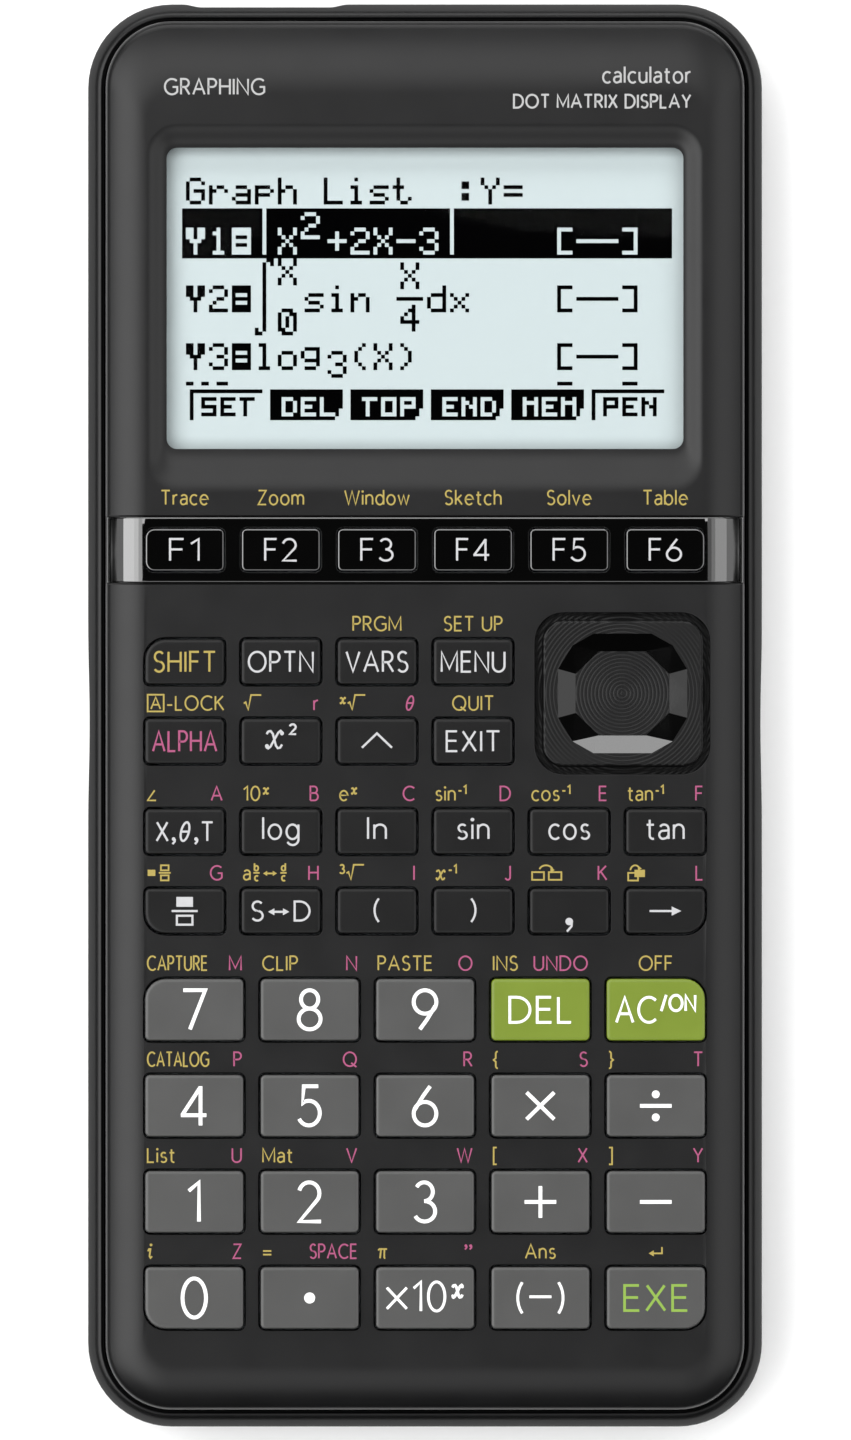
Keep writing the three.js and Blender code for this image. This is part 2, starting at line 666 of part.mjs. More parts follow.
function padOutline(grow) {
  return roundedOutline(padWidth + 2 * grow, padLength + 2 * grow, padCorner + grow, padCentre, 2);
}

// A quarter's points repeated in the other three quarters, counterclockwise.
function fourQuarters(quarter) {
  const turned = [[1, 1], [-1, 1], [-1, -1], [1, -1]].flatMap(([sx, sy], i) => {
    const points = quarter.map(([x, y]) => new THREE.Vector2(sx * x, sy * y));
    return i % 2 ? points.reverse() : points;
  });
  return turned;
}

// The faceted dish as a cutter: a floor with eight sides inside a rim with twelve.
function dishCutter() {
  const [cx, cy] = padCentre;
  const ring = (quarter, z) => fourQuarters(quarter).map((p) => (
    new THREE.Vector3(cx + (p.x * padWidth) / 2, cy + (p.y * padLength) / 2, z)));
  const rim = ring(dishRim, padTop);
  const floor = ring(dishFloor, padTop - padDish);
  const geometry = new THREE.BufferGeometry();
  const lid = rim.map((p) => new THREE.Vector3(p.x, p.y, padTop + pastCut));
  const tips = [0, 1, 2, 3].map((i) => {
    const [a, b] = [rim[(i * 3 + 2) % 12], rim[(i * 3 + 3) % 12]];
    return new THREE.Vector3((a.x + b.x) / 2, (a.y + b.y) / 2, padTop);
  });
  const triangles = [];
  const face = (...points) => triangles.push(...points.flatMap((p) => [p.x, p.y, p.z]));
  for (let q = 0; q < 4; q++) {
    const [r0, r1, r2, r3] = [0, 1, 2, 3].map((i) => rim[(q * 3 + i) % 12]);
    const [f0, f1, f2] = [0, 1, 2].map((i) => floor[(q * 2 + i) % 8]);
    const [before, after] = [tips[(q + 3) % 4], tips[q]];
    face(f0, r0, before);
    face(f0, r1, r0);
    face(f0, f1, r1);
    face(f1, r2, r1);
    face(f1, after, r2);
    face(f1, f2, after);
    const [l0, l1, l2, l3] = [0, 1, 2, 3].map((i) => lid[(q * 3 + i) % 12]);
    for (const [a, b, c, d] of [[r0, r1, l1, l0], [r1, r2, l2, l1]]) {
      face(a, b, c);
      face(a, c, d);
    }
    face(r2, after, l2);
    face(after, l3, l2);
    face(after, r3, l3);
  }
  for (const [i, j, k] of THREE.ShapeUtils.triangulateShape(lid, [])) face(lid[i], lid[j], lid[k]);
  for (const [i, j, k] of THREE.ShapeUtils.triangulateShape(floor, [])) face(floor[k], floor[j], floor[i]);
  geometry.setAttribute("position", new THREE.Float32BufferAttribute(triangles.flat(), 3));
  return geometry;
}

function cursorPad() {
  const flange = padOutline(padGap + padFlangeReach);
  const body = loft([
    { outline: flange, z: padFlangeBottom },
    { outline: flange, z: padFlangeTop },
    { outline: padOutline(0), z: padFlangeTop },
    { outline: padOutline(0), z: padTop - padBevel },
    { outline: padOutline(-padBevel), z: padTop },
  ]);
  return solid(body).subtract(solid(dishCutter()));
}

function cursorPadPost() {
  return post(padPostRadius, matTop + fitGap, padFlangeBottom - fitGap, padCentre, 12);
}

// ---- Batteries, sockets and the restart button ----

function batteryCells() {
  const low = compartmentY - (cellLength - cellNub) / 2;
  const high = low + cellLength - cellNub;
  return joined(Array.from({ length: cellCount }, (_, i) => {
    const place = [(i - (cellCount - 1) / 2) * cellPitch, cellHeight];
    const nub = i % 2 ? [low - cellNub, low + cellNub] : [high - cellNub, high + cellNub];
    return [rod(cellRadius, low, high, place, 20), rod(cellNubRadius, ...nub, place, 10)];
  }).flat());
}

function usbOutline(grow) {
  const size = [usb.width + 2 * grow, usb.height + 2 * grow];
  return roundedOutline(...size, usb.corner + grow, [usb.x, portHeight]);
}

function usbSocket() {
  const back = socketMouth - usb.length;
  const tongue = block([usb.x - usbTongue.width / 2, usb.x + usbTongue.width / 2],
    [back, back + usbTongue.length],
    [portHeight - usbTongue.height / 2, portHeight + usbTongue.height / 2]);
  return solid(alongY(usbOutline(0), back, socketMouth))
    .subtract(solid(alongY(usbOutline(-usb.wall), back + usb.wall * 2, socketMouth + pastCut)))
    .add(solid(tongue));
}

function linkSocket() {
  const back = socketMouth - link.length;
  const place = [link.x, portHeight];
  return solid(rod(link.radius, back, socketMouth, place, 20))
    .subtract(solid(rod(link.bore, back + pastCut, socketMouth + pastCut, place, 12)));
}

function restartButton() {
  return joined([
    post(restartRadius, restartRecess, boardUnderside - restartSwitch.height - restartTravel - fitGap,
      restartPlace, 10),
    post(restartFlange, rearFloor + fitGap, rearFloor + fitGap + restartFlangeThickness, restartPlace, 12),
  ]);
}

// ---- Assembly ----
const calculator = new THREE.Group();
calculator.add(
  meshOf("front_case", frontCase(), finishes.caseBlack),
  meshOf("rear_case", rearCase(), finishes.caseBlack),
  meshOf("battery_cover", batteryCover(), finishes.caseBlack),
  meshOf("display_window", displayWindow(), finishes.lens),
  meshOf("lcd_panel", lcdPanel(), finishes.lcd),
  meshOf("function_key_strip", functionKeyStrip(), finishes.glossBlack),
  meshOf("key_mat", keyMat(), finishes.silicone),
  meshOf("circuit_board", circuitBoard(), finishes.board),
  meshOf("battery_cells", batteryCells(), finishes.cell),
  meshOf("usb_socket", usbSocket(), finishes.metal),
  meshOf("link_socket", linkSocket(), finishes.metal),
  meshOf("restart_button", restartButton(), finishes.darkKey),
  meshOf("cursor_pad_post", cursorPadPost(), finishes.silicone),
  meshOf("cursor_pad", cursorPad(), finishes.padBlack),
  ...keys.map((key) => meshOf(key.name, keyCap(key), key.material)),
);

export default calculator;
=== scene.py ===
"""Graphing calculator: its visual pieces, made round the fixed frame.

Meshes are worked out in millimetres and stored in metres. +Z is up out of the keys and +Y points to the
display end. Every size that can be read from the frame is read from it.
"""
import math
from types import SimpleNamespace

import bpy
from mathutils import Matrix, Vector


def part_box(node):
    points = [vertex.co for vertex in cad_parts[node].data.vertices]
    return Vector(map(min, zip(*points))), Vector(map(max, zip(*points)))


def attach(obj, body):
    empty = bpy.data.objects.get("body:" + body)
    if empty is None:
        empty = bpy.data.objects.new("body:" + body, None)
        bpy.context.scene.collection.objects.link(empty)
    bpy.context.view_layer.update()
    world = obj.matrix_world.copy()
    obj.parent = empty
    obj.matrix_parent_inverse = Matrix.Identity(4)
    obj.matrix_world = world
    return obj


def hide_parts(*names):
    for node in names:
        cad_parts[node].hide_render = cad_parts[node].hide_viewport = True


bl_info = {
    "name": "Graphing Calculator",
    "version": (1, 0, 0),
    "blender": (4, 5, 0),
    "location": "3D View > Sidebar > Calculator",
    "description": "Builds a graphing calculator piece by piece round its frame",
    "category": "Object",
}

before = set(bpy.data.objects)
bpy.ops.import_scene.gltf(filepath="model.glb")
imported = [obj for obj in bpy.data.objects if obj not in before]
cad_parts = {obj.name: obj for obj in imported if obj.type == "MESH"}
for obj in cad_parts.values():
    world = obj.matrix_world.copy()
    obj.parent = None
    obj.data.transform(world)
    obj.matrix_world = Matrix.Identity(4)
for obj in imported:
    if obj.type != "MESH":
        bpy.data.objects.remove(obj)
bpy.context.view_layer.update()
MM = 0.001
INK_LIFT = 0.008  # ink above the surface it is printed on
STROKE_LIFT = 0.001  # one stroke above the one before it, so that no two lie in one plane
TOP_SLACK = 0.02  # room left above a key for its ink


# ---- Settings ----

def length(name, description, millimetres):
    """A length that the user can change."""
    return bpy.props.FloatProperty(name=name, description=description, default=millimetres * MM, min=0.0,
                                   precision=5, unit="LENGTH")


def colour(name, description, red, green, blue):
    """A colour that the user can change, in linear values."""
    return bpy.props.FloatVectorProperty(name=name, description=description, default=(red, green, blue),
                                         size=3, min=0.0, max=1.0, subtype="COLOR")


def share(name, description, value, most=1.0):
    """A plain factor that the user can change."""
    return bpy.props.FloatProperty(name=name, description=description, default=value, min=0.0, max=most,
                                   subtype="FACTOR")


class CaseSizes(bpy.types.PropertyGroup):
    """Sizes of the two shells."""
    crown_side: length("Crown, sides", "Width of the rounded shoulder along each side", 5.2)
    crown_top: length("Crown, top", "Width of the rounded shoulder at the display end", 9.0)
    crown_bottom: length("Crown, bottom", "Width of the rounded shoulder at the key end", 5.7)
    crown_drop: length("Crown drop", "Height of the rounded shoulder", 1.6)
    crown_edge: length("Crown edge", "Height of the turned-down edge at the shoulder's foot", 0.4)
    front_wall: length("Front wall", "Wall thickness of the front shell", 1.8)
    front_skirt: length("Front skirt", "Height of the front shell's lower edge", 9.6)
    ridge: length("Ridge", "Height of the rear shell's upper edge", 13.6)
    ridge_inset: length("Ridge inset", "Rear outline to the crest of its upper edge", 1.6)
    rear_wall: length("Rear wall", "Wall thickness of the rear shell", 2.0)
    rear_floor: length("Rear floor", "Floor thickness of the rear shell", 1.8)
    hole_edge: length("Hole edge", "Rounding of the key holes' upper edges", 0.14)
    bezel_side: length("Bezel, sides", "Width of the soft slope beside the window", 2.5)
    bezel_top: length("Bezel, top", "Width of the soft slope above the window", 3.0)
    bezel_bottom: length("Bezel, bottom", "Width of the soft slope below the window", 5.5)
    bezel_depth: length("Bezel depth", "How far the slope sinks towards the window", 0.7)


class KeySizes(bpy.types.PropertyGroup):
    """Sizes of the key caps, the glossy strip and the cursor pad."""
    corner: length("Corner", "Radius of a cap's ordinary corners", 0.6)
    outer_corner: length("Outer corner", "Radius of the corner at the end of a block of keys", 2.5)
    function_corner: length("Function corner", "Radius of the outer corners of F1 and F6", 1.1)
    edge: length("Cap edge", "Rounding of a cap's upper edge", 0.18)
    rim: length("Cap rim", "Width of the slightly sloping rim round a cap's top", 0.3)
    rim_drop: length("Rim drop", "How far the rim falls outwards", 0.1)
    gloss_rim: share("Glossy rim", "Rim of a glossy cap, as a share of the others'", 0.4)
    gap: length("Gap", "Cap to the edge of its hole", 0.22)
    strip_edge: length("Strip edge", "Rounding of the glossy strip's long edges", 0.25)
    strip_end: length("Strip end", "How far the strip's ends turn down below the shoulder", 0.34)
    pad_gap: length("Pad gap", "Cursor pad to the edge of its well", 0.85)
    pad_corner: length("Pad corner", "Radius of the cursor pad's corners", 2.7)
    pad_edge: length("Pad edge", "Rounding of the cursor pad's upper edge", 0.5)
    dish_depth: length("Dish depth", "Depth of the faceted dish", 1.25)
    groove_pitch: length("Groove pitch", "Distance between the dish's concentric grooves", 0.23)
    groove_depth: length("Groove depth", "Depth of the dish's concentric grooves", 0.014)


class InkSizes(bpy.types.PropertyGroup):
    """Sizes of the printed lettering."""
    digit: length("Digit height", "Height of the digits on the large keys", 4.83)
    digit_stroke: length("Digit stroke", "Line width of the digits", 0.46)
    word: length("Word height", "Height of capitals on the small keys", 2.5)
    word_stroke: length("Word stroke", "Line width on the small keys", 0.26)
    big_word_stroke: length("Large word stroke", "Line width of the words on the large keys", 0.33)
    legend: length("Legend height", "Height of capitals printed on the case", 1.72)
    legend_stroke: length("Legend stroke", "Line width printed on the case", 0.2)
    legend_rise: length("Legend rise", "Top of a key to the foot of the legend above it", 1.07)


class Finishes(bpy.types.PropertyGroup):
    """Colours and gloss of the finishes."""
    case: colour("Case", "Satin black of the two shells", 0.0034, 0.0034, 0.0036)
    gloss: colour("Gloss black", "The strip and the function keys", 0.0008, 0.0008, 0.0008)
    small_key: colour("Small keys", "Black of the small keys", 0.0012, 0.0012, 0.0013)
    large_key: colour("Large keys", "Grey of the large keys", 0.039, 0.039, 0.038)
    green_key: colour("Green keys", "Green of the two clearing keys", 0.119, 0.172, 0.006)
    pad: colour("Cursor pad", "Black of the cursor pad", 0.0022, 0.0022, 0.0023)
    white_ink: colour("White ink", "Lettering of the large keys", 0.76, 0.76, 0.76)
    dim_ink: colour("Dim white ink", "Lettering of the small and function keys", 0.4, 0.4, 0.41)
    silver_ink: colour("Silver ink", "Lettering beside the display", 0.34, 0.34, 0.34)
    gold_ink: colour("Gold ink", "Shifted functions", 0.31, 0.24, 0.06)
    pink_ink: colour("Pink ink", "Letters", 0.29, 0.062, 0.14)
    green_ink: colour("Green ink", "The execute key's word", 0.19, 0.31, 0.05)
    lcd: colour("Display", "Pale ground of the display", 0.437, 0.503, 0.512)
    gloss_coat: share("Gloss coat", "Clear coat on the strip and the function keys", 1.0)


class StageSettings(bpy.types.PropertyGroup):
    """The floor, the lamps and the camera."""
    floor: colour("Floor", "Pale floor", 0.97, 0.97, 0.97)
    lamp_height: length("Lamp height", "Height of the lamps above the floor", 1500.0)
    camera_height: length("Camera height", "Camera above the calculator's face", 2000.0)
    picture_height: length("Picture height", "Height of the picture at the calculator's face", 177.7)
    left: share("Left lamp", "Brightness of the left lamp", 4.8, 50.0)
    right: share("Right lamp", "Brightness of the right lamp", 2.2, 50.0)
    top: share("Top lamp", "Brightness of the lamp at the display end", 3.6, 50.0)
    far: share("Far lamp", "Brightness of the low lamp beyond the display end", 5.0, 50.0)
    bottom: share("Bottom lamp", "Brightness of the lamp at the key end", 1.8, 50.0)


class CalculatorSettings(bpy.types.PropertyGroup):
    """Everything that the user can change."""
    case: bpy.props.PointerProperty(type=CaseSizes)
    keys: bpy.props.PointerProperty(type=KeySizes)
    ink: bpy.props.PointerProperty(type=InkSizes)
    finishes: bpy.props.PointerProperty(type=Finishes)
    stage: bpy.props.PointerProperty(type=StageSettings)


def in_mm(group):
    """A settings group's lengths in millimetres."""
    names = type(group).__annotations__
    return SimpleNamespace(**{name: getattr(group, name) / MM for name in names})


# ---- Places read from the frame ----

class Box:
    """The box of a CAD node, in millimetres."""

    def __init__(self, node):
        low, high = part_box(node)
        self.low, self.high = low / MM, high / MM
        self.centre = (self.low + self.high) / 2
        self.size = self.high - self.low


# ---- Outlines and shapes ----

def rounded(width, height, radii, centre=(0.0, 0.0), steps=6):
    """Outline of a rectangle. Its corner radii run top right, top left, bottom left, bottom right."""
    radii = radii if isinstance(radii, (list, tuple)) else [radii] * 4
    points = []
    for i, (side, end) in enumerate([(1, 1), (-1, 1), (-1, -1), (1, -1)]):
        x = centre[0] + side * (width / 2 - radii[i])
        y = centre[1] + end * (height / 2 - radii[i])
        for step in range(steps + 1):
            turn = math.radians(90 * (i + step / steps))
            points.append((x + radii[i] * math.cos(turn), y + radii[i] * math.sin(turn)))
    return points


def at(outline, z):
    """An outline lifted to one height."""
    return [(x, y, z) for x, y in outline]


def circle(radius, centre=(0.0, 0.0), sides=24):
    turns = [2 * math.pi * i / sides for i in range(sides)]
    return [(centre[0] + radius * math.cos(t), centre[1] + radius * math.sin(t)) for t in turns]


class Shape:
    """Points in millimetres and faces, each with the number of its finish."""

    def __init__(self):
        self.points, self.faces, self.finishes = [], [], []

    def face(self, *corners, finish=0):
        self.faces.append(corners)
        self.finishes.append(finish)

    def rings(self, rings, finish=0, capped=True):
        """A skin through rings of equal point counts. Seen from above, rings run counterclockwise."""
        count, first = len(rings[0]), len(self.points)
        for ring in rings:
            self.points.extend(ring)
        for level in range(len(rings) - 1):
            low = first + level * count
            for i in range(count):
                j = (i + 1) % count
                self.face(low + i, low + j, low + count + j, low + count + i, finish=finish)
        if capped:
            last = first + (len(rings) - 1) * count
            self.face(*range(first + count - 1, first - 1, -1), finish=finish)
            self.face(*range(last, last + count), finish=finish)
        return self

    def block(self, low, high, finish=0):
        width, depth = high[0] - low[0], high[1] - low[1]
        outline = rounded(width, depth, 0.05, ((low[0] + high[0]) / 2, (low[1] + high[1]) / 2), 1)
        return self.rings([at(outline, low[2]), at(outline, high[2])], finish)

    def turned(self, profile, origin, axis="Z", sides=32, finish=0):
        """A solid turned round an axis, from (radius, distance along the axis) pairs."""
        turns = [2 * math.pi * i / sides for i in range(sides)]
        rings = []
        for radius, along in profile:
            ring = [(radius * math.cos(t), radius * math.sin(t), along) for t in turns]
            if axis == "Y":
                ring = [(x, z, -y) for x, y, z in ring]
            rings.append([tuple(a + b for a, b in zip(p, origin)) for p in ring])
        return self.rings(rings, finish)

    def tube(self, path, radius, sides=8, finish=0):
        """A round wire along a path."""
        path = [Vector(p) for p in path]
        rings = []
        across = None
        for i, point in enumerate(path):
            along = (path[min(i + 1, len(path) - 1)] - path[max(i - 1, 0)]).normalized()
            across = along.orthogonal() if across is None else across - along * across.dot(along)
            across.normalize()
            other = along.cross(across)
            turns = [2 * math.pi * k / sides for k in range(sides)]
            rings.append([tuple(point + radius * (across * math.cos(t) + other * math.sin(t)))
                          for t in turns])
        return self.rings(rings, finish)

    def mesh(self, name):
        mesh = bpy.data.meshes.new(name)
        mesh.from_pydata([Vector(p) * MM for p in self.points], [], self.faces)
        mesh.polygons.foreach_set("material_index", self.finishes)
        mesh.validate()
        return mesh


def rounding(radius, steps, start=0.0):
    """(inset, height below the top) pairs of a rounded upper edge, from the side to the top."""
    turns = [start + (math.pi / 2 - start) * i / steps for i in range(steps + 1)]
    return [(radius * (1 - math.cos(t)), radius * (1 - math.sin(t))) for t in turns]


def boolean(thing, shape, operation="DIFFERENCE"):
    """Cuts a shape out of an object, or joins it on, and keeps the result as the object's mesh."""
    tool = bpy.data.objects.new("tool", shape.mesh("tool"))
    bpy.context.scene.collection.objects.link(tool)
    step = thing.modifiers.new("step", "BOOLEAN")
    step.operation, step.solver, step.object = operation, "EXACT", tool
    step.use_self = True
    evaluated = thing.evaluated_get(bpy.context.evaluated_depsgraph_get())
    result = bpy.data.meshes.new_from_object(evaluated)
    thing.modifiers.clear()
    spare, thing.data = thing.data, result
    bpy.data.meshes.remove(spare)
    bpy.data.objects.remove(tool)


def new_object(name, shape, finishes):
    thing = bpy.data.objects.new(name, shape.mesh(name))
    bpy.context.scene.collection.objects.link(thing)
    for finish in finishes:
        thing.data.materials.append(finish)
    return thing


def smooth(thing, angle=35.0, level=None):
    """Smooth shading up to an angle. Corners on a level face look straight up."""
    mesh = thing.data
    mesh.polygons.foreach_set("use_smooth", [True] * len(mesh.polygons))
    mesh.set_sharp_from_angle(angle=math.radians(angle))
    if level is None:
        return
    normals = [tuple(n.vector) for n in mesh.corner_normals]
    for polygon in mesh.polygons:
        if polygon.normal.z < math.cos(math.radians(angle)):
            continue
        for corner in polygon.loop_indices:
            height = mesh.vertices[mesh.loops[corner].vertex_index].co.z / MM
            if abs(height - level) < 1e-3:
                normals[corner] = (0.0, 0.0, 1.0)
    mesh.normals_split_custom_set(normals)


def finished(thing, body, slot, *nodes):
    """Sets a made piece on its CAD body, in place of its CAD nodes."""
    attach(thing, body)
    if nodes:
        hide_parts(*nodes)
    return thing


# ---- Shader maths ----

class Wire:
    """An output socket. Arithmetic on it adds Math nodes."""

    def __init__(self, graph, socket):
        self.graph, self.socket = graph, socket

    def math(self, operation, *values):
        return self.graph.node("ShaderNodeMath", {"operation": operation}, dict(enumerate(values)))

    def __add__(self, other):
        return self.math("ADD", self, other)

    def __mul__(self, other):
        return self.math("MULTIPLY", self, other)

    def __sub__(self, other):
        return self.math("SUBTRACT", self, other)

    def __rsub__(self, other):
        return self.math("SUBTRACT", other, self)

    __radd__ = __add__
    __rmul__ = __mul__


class Graph:
    """The nodes of one material."""

    def __init__(self, name):
        self.material = bpy.data.materials.new(name)
        self.material.use_nodes = True
        self.tree = self.material.node_tree
        self.tree.nodes.clear()

    def node(self, kind, settings, sockets, output=0):
        made = self.tree.nodes.new(kind)
        for key, value in settings.items():
            setattr(made, key, value)
        for key, value in sockets.items():
            if isinstance(value, Wire):
                self.tree.links.new(value.socket, made.inputs[key])
            else:
                made.inputs[key].default_value = value
        return Wire(self, made.outputs[output])

    def place(self):
        return self.node("ShaderNodeTexCoord", {}, {}, "Object")

    def noise(self, size, detail=3.0, stretch=None):
        """Noise from 0 to 1, with features of about one size in millimetres."""
        where = self.place()
        if stretch:
            where = self.node("ShaderNodeMapping", {}, {"Vector": where, "Scale": stretch})
        return self.node("ShaderNodeTexNoise", {}, {"Vector": where, "Scale": 1 / (size * MM),
                                                     "Detail": detail})

    def blend(self, low, high, factor):
        """A colour between two, by a factor."""
        return self.node("ShaderNodeMix", {"data_type": "RGBA"},
                         {"Factor": factor, 6: (*low, 1.0), 7: (*high, 1.0)}, 2)

    def bump(self, height, depth, strength=1.0):
        return self.node("ShaderNodeBump", {}, {"Height": height, "Distance": depth * MM,
                                                "Strength": strength})

    def surface(self, **sockets):
        named = {key.replace("_", " "): value for key, value in sockets.items()}
        shader = self.node("ShaderNodeBsdfPrincipled", {}, named)
        self.node_output(shader)
        return self.material

    def node_output(self, shader):
        made = self.tree.nodes.new("ShaderNodeOutputMaterial")
        self.tree.links.new(shader.socket, made.inputs["Surface"])


def scaled(tint, factor):
    return tuple(min(channel * factor, 1.0) for channel in tint)


def moulded(name, tint, roughness, grain, depth, specular=0.5, coat=0.0):
    """Moulded plastic: a fine grain, faint mottling of its colour and slightly uneven gloss."""
    g = Graph(name)
    mottle = g.noise(6.0)
    base = g.blend(scaled(tint, 0.9), scaled(tint, 1.1), mottle)
    rough = mottle * 0.08 + (roughness - 0.04)
    return g.surface(Base_Color=base, Roughness=rough, Specular_IOR_Level=specular,
                     Coat_Weight=coat, Coat_Roughness=0.03, Normal=g.bump(g.noise(grain, 2.0), depth))


def grooved(name, tint):
    """Satin plastic turned with fine rings round the cursor pad's middle."""
    g = Graph(name)
    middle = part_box("cursor_pad")
    middle = (middle[0] + middle[1]) / 2
    away = g.node("ShaderNodeVectorMath", {"operation": "SUBTRACT"}, {0: g.place(), 1: middle})
    flat = g.node("ShaderNodeVectorMath", {"operation": "MULTIPLY"}, {0: away, 1: (1.0, 1.0, 0.0)})
    reach = g.node("ShaderNodeVectorMath", {"operation": "LENGTH"}, {0: flat}, "Value")
    rings = reach.math("SINE", reach * (2 * math.pi / (GROOVE_PITCH * MM)))
    mottle = g.noise(5.0)
    return g.surface(Base_Color=g.blend(scaled(tint, 0.85), scaled(tint, 1.15), mottle),
                     Roughness=mottle * 0.06 + 0.27, Specular_IOR_Level=0.2, Normal=g.bump(rings, 0.012))


def printed(name, tint, specular=0.2):
    """Screen-printed ink: slightly uneven cover and a soft sheen."""
    g = Graph(name)
    cover = g.noise(0.35)
    base = g.blend(scaled(tint, 0.93), scaled(tint, 1.05), cover)
    return g.surface(Base_Color=base, Roughness=cover * 0.1 + 0.5, Specular_IOR_Level=specular,
                     Normal=g.bump(cover, 0.004))


def metal(name, tint, roughness, brushed=(1.0, 1.0, 1.0)):
    """Plated sheet or wire, faintly brushed."""
    g = Graph(name)
    streaks = g.noise(0.25, 2.0, brushed)
    base = g.blend(scaled(tint, 0.88), scaled(tint, 1.05), streaks)
    return g.surface(Base_Color=base, Roughness=streaks * 0.14 + roughness, Metallic=1.0,
                     Normal=g.bump(streaks, 0.004))


def window_lens():
    """Hard-coated clear acrylic."""
    g = Graph("window_lens")
    return g.surface(Base_Color=(0.0, 0.0, 0.0, 1.0), Roughness=g.noise(9.0) * 0.02 + 0.03, Alpha=0.04,
                     Specular_IOR_Level=0.5, Normal=g.bump(g.noise(14.0, 1.0), 0.003))


def display_ground(tint):
    """Reflective ground of the display: very fine sparkle under the glass."""
    g = Graph("display_ground")
    sparkle = g.noise(0.09, 1.0)
    return g.surface(Base_Color=g.blend(scaled(tint, 0.96), scaled(tint, 1.04), sparkle),
                     Roughness=sparkle * 0.1 + 0.4, Specular_IOR_Level=0.15,
                     Normal=g.bump(sparkle, 0.002))


def board_laminate():
    """Circuit board: green mask over copper tracks that run both ways."""
    g = Graph("board_laminate")
    across = g.noise(1.2, 0.0, (1.0, 0.12, 1.0))
    along = g.noise(1.2, 0.0, (0.12, 1.0, 1.0))
    tracks = across.math("GREATER_THAN", across, 0.56) + along.math("GREATER_THAN", along, 0.58)
    shade = tracks.math("MINIMUM", tracks, 1.0)
    return g.surface(Base_Color=g.blend((0.008, 0.06, 0.02), (0.02, 0.13, 0.045), shade),
                     Roughness=shade * -0.1 + 0.4, Normal=g.bump(shade, 0.03))


def floor_paper(tint):
    """Matt paper sweep with a faint tooth."""
    g = Graph("floor_paper")
    tooth = g.noise(1.5)
    return g.surface(Base_Color=g.blend(scaled(tint, 0.985), scaled(tint, 1.01), tooth),
                     Roughness=tooth * 0.1 + 0.85, Specular_IOR_Level=0.1, Normal=g.bump(tooth, 0.02))


def finish(name):
    """One of the object's finishes, made the first time it is asked for."""
    made = bpy.data.materials.get(name)
    if made:
        return made
    tints = bpy.context.scene.calculator.finishes
    recipes = {
        "case_black": lambda: moulded(name, tints.case, 0.31, 0.25, 0.003, 0.26),
        "gloss_black": lambda: moulded(name, tints.gloss, 0.05, 3.0, 0.002, 1.0, tints.gloss_coat),
        "small_key_black": lambda: moulded(name, tints.small_key, 0.34, 0.2, 0.003, 0.22),
        "large_key_grey": lambda: moulded(name, tints.large_key, 0.36, 0.2, 0.003, 0.5),
        "green_key": lambda: moulded(name, tints.green_key, 0.36, 0.2, 0.003, 0.4),
        "pad_black": lambda: grooved(name, tints.pad),
        "pad_gloss": lambda: moulded(name, tints.gloss, 0.08, 2.0, 0.001, 0.75),
        "socket_black": lambda: moulded(name, (0.01, 0.01, 0.01), 0.45, 0.3, 0.006),
        "white_ink": lambda: printed(name, tints.white_ink),
        "dim_ink": lambda: printed(name, tints.dim_ink),
        "silver_ink": lambda: printed(name, tints.silver_ink),
        "gold_ink": lambda: printed(name, tints.gold_ink),
        "pink_ink": lambda: printed(name, tints.pink_ink),
        "green_ink": lambda: printed(name, tints.green_ink),
        "display_black": lambda: printed(name, (0.0006, 0.0006, 0.0007), 0.0),
        "display_ground": lambda: display_ground(tints.lcd),
        "window_lens": window_lens,
        "grey_silicone": lambda: moulded(name, (0.25, 0.27, 0.29), 0.65, 0.4, 0.01, 0.3),
        "board_laminate": board_laminate,
        "cell_sleeve": lambda: moulded(name, (0.03, 0.07, 0.12), 0.25, 0.8, 0.004, 0.5, 0.4),
        "nickel": lambda: metal(name, (0.62, 0.61, 0.58), 0.22, (1.0, 0.1, 1.0)),
        "spring_steel": lambda: metal(name, (0.55, 0.55, 0.56), 0.28),
        "dark_zinc": lambda: metal(name, (0.09, 0.09, 0.1), 0.35),
        "floor_paper": lambda: floor_paper(bpy.context.scene.calculator.stage.floor),
    }
    return recipes[name]()


# ---- Lettering: strokes on a cap height of 1 ----

class Filled(list):
    """An outline inked solid."""


def line(*numbers):
    return list(zip(numbers[::2], numbers[1::2]))


def arc(x, y, wide, tall, start, end):
    """Points of an ellipse round (x, y), from one angle to another in degrees."""
    steps = max(3, round(abs(end - start) / 12))
    turns = [math.radians(start + (end - start) * i / steps) for i in range(steps + 1)]
    return [(x + wide * math.cos(t), y + tall * math.sin(t)) for t in turns]


def dot(x, y, radius):
    return Filled(arc(x, y, radius, radius, 0, 330))


def bar(x0, y0, x1, y1):
    return Filled(line(x0, y0, x1, y0, x1, y1, x0, y1))


def slanted(points, slope=0.22):
    return type(points)((x + slope * y, y) for x, y in points)


def head(x, y, reach):
    """A solid arrow head with its tip at (x, y), pointing right, or left if its reach is negative."""
    points = line(x - reach, y - abs(reach) * 0.6, x, y, x - reach, y + abs(reach) * 0.6)
    return Filled(points if reach > 0 else points[::-1])


TWO = [arc(0.27, 0.72, 0.26, 0.28, 165, -35) + line(0.02, 0, 0.57, 0)]
BOWL = arc(0.27, 0.34, 0.27, 0.35, 0, 360)
ROUND = arc(0.45, 0.5, 0.45, 0.5, 0, 360)
COMMA = [dot(0.08, 0.1, 0.1), line(0.15, 0.1, 0.14, -0.03, 0.02, -0.17)]
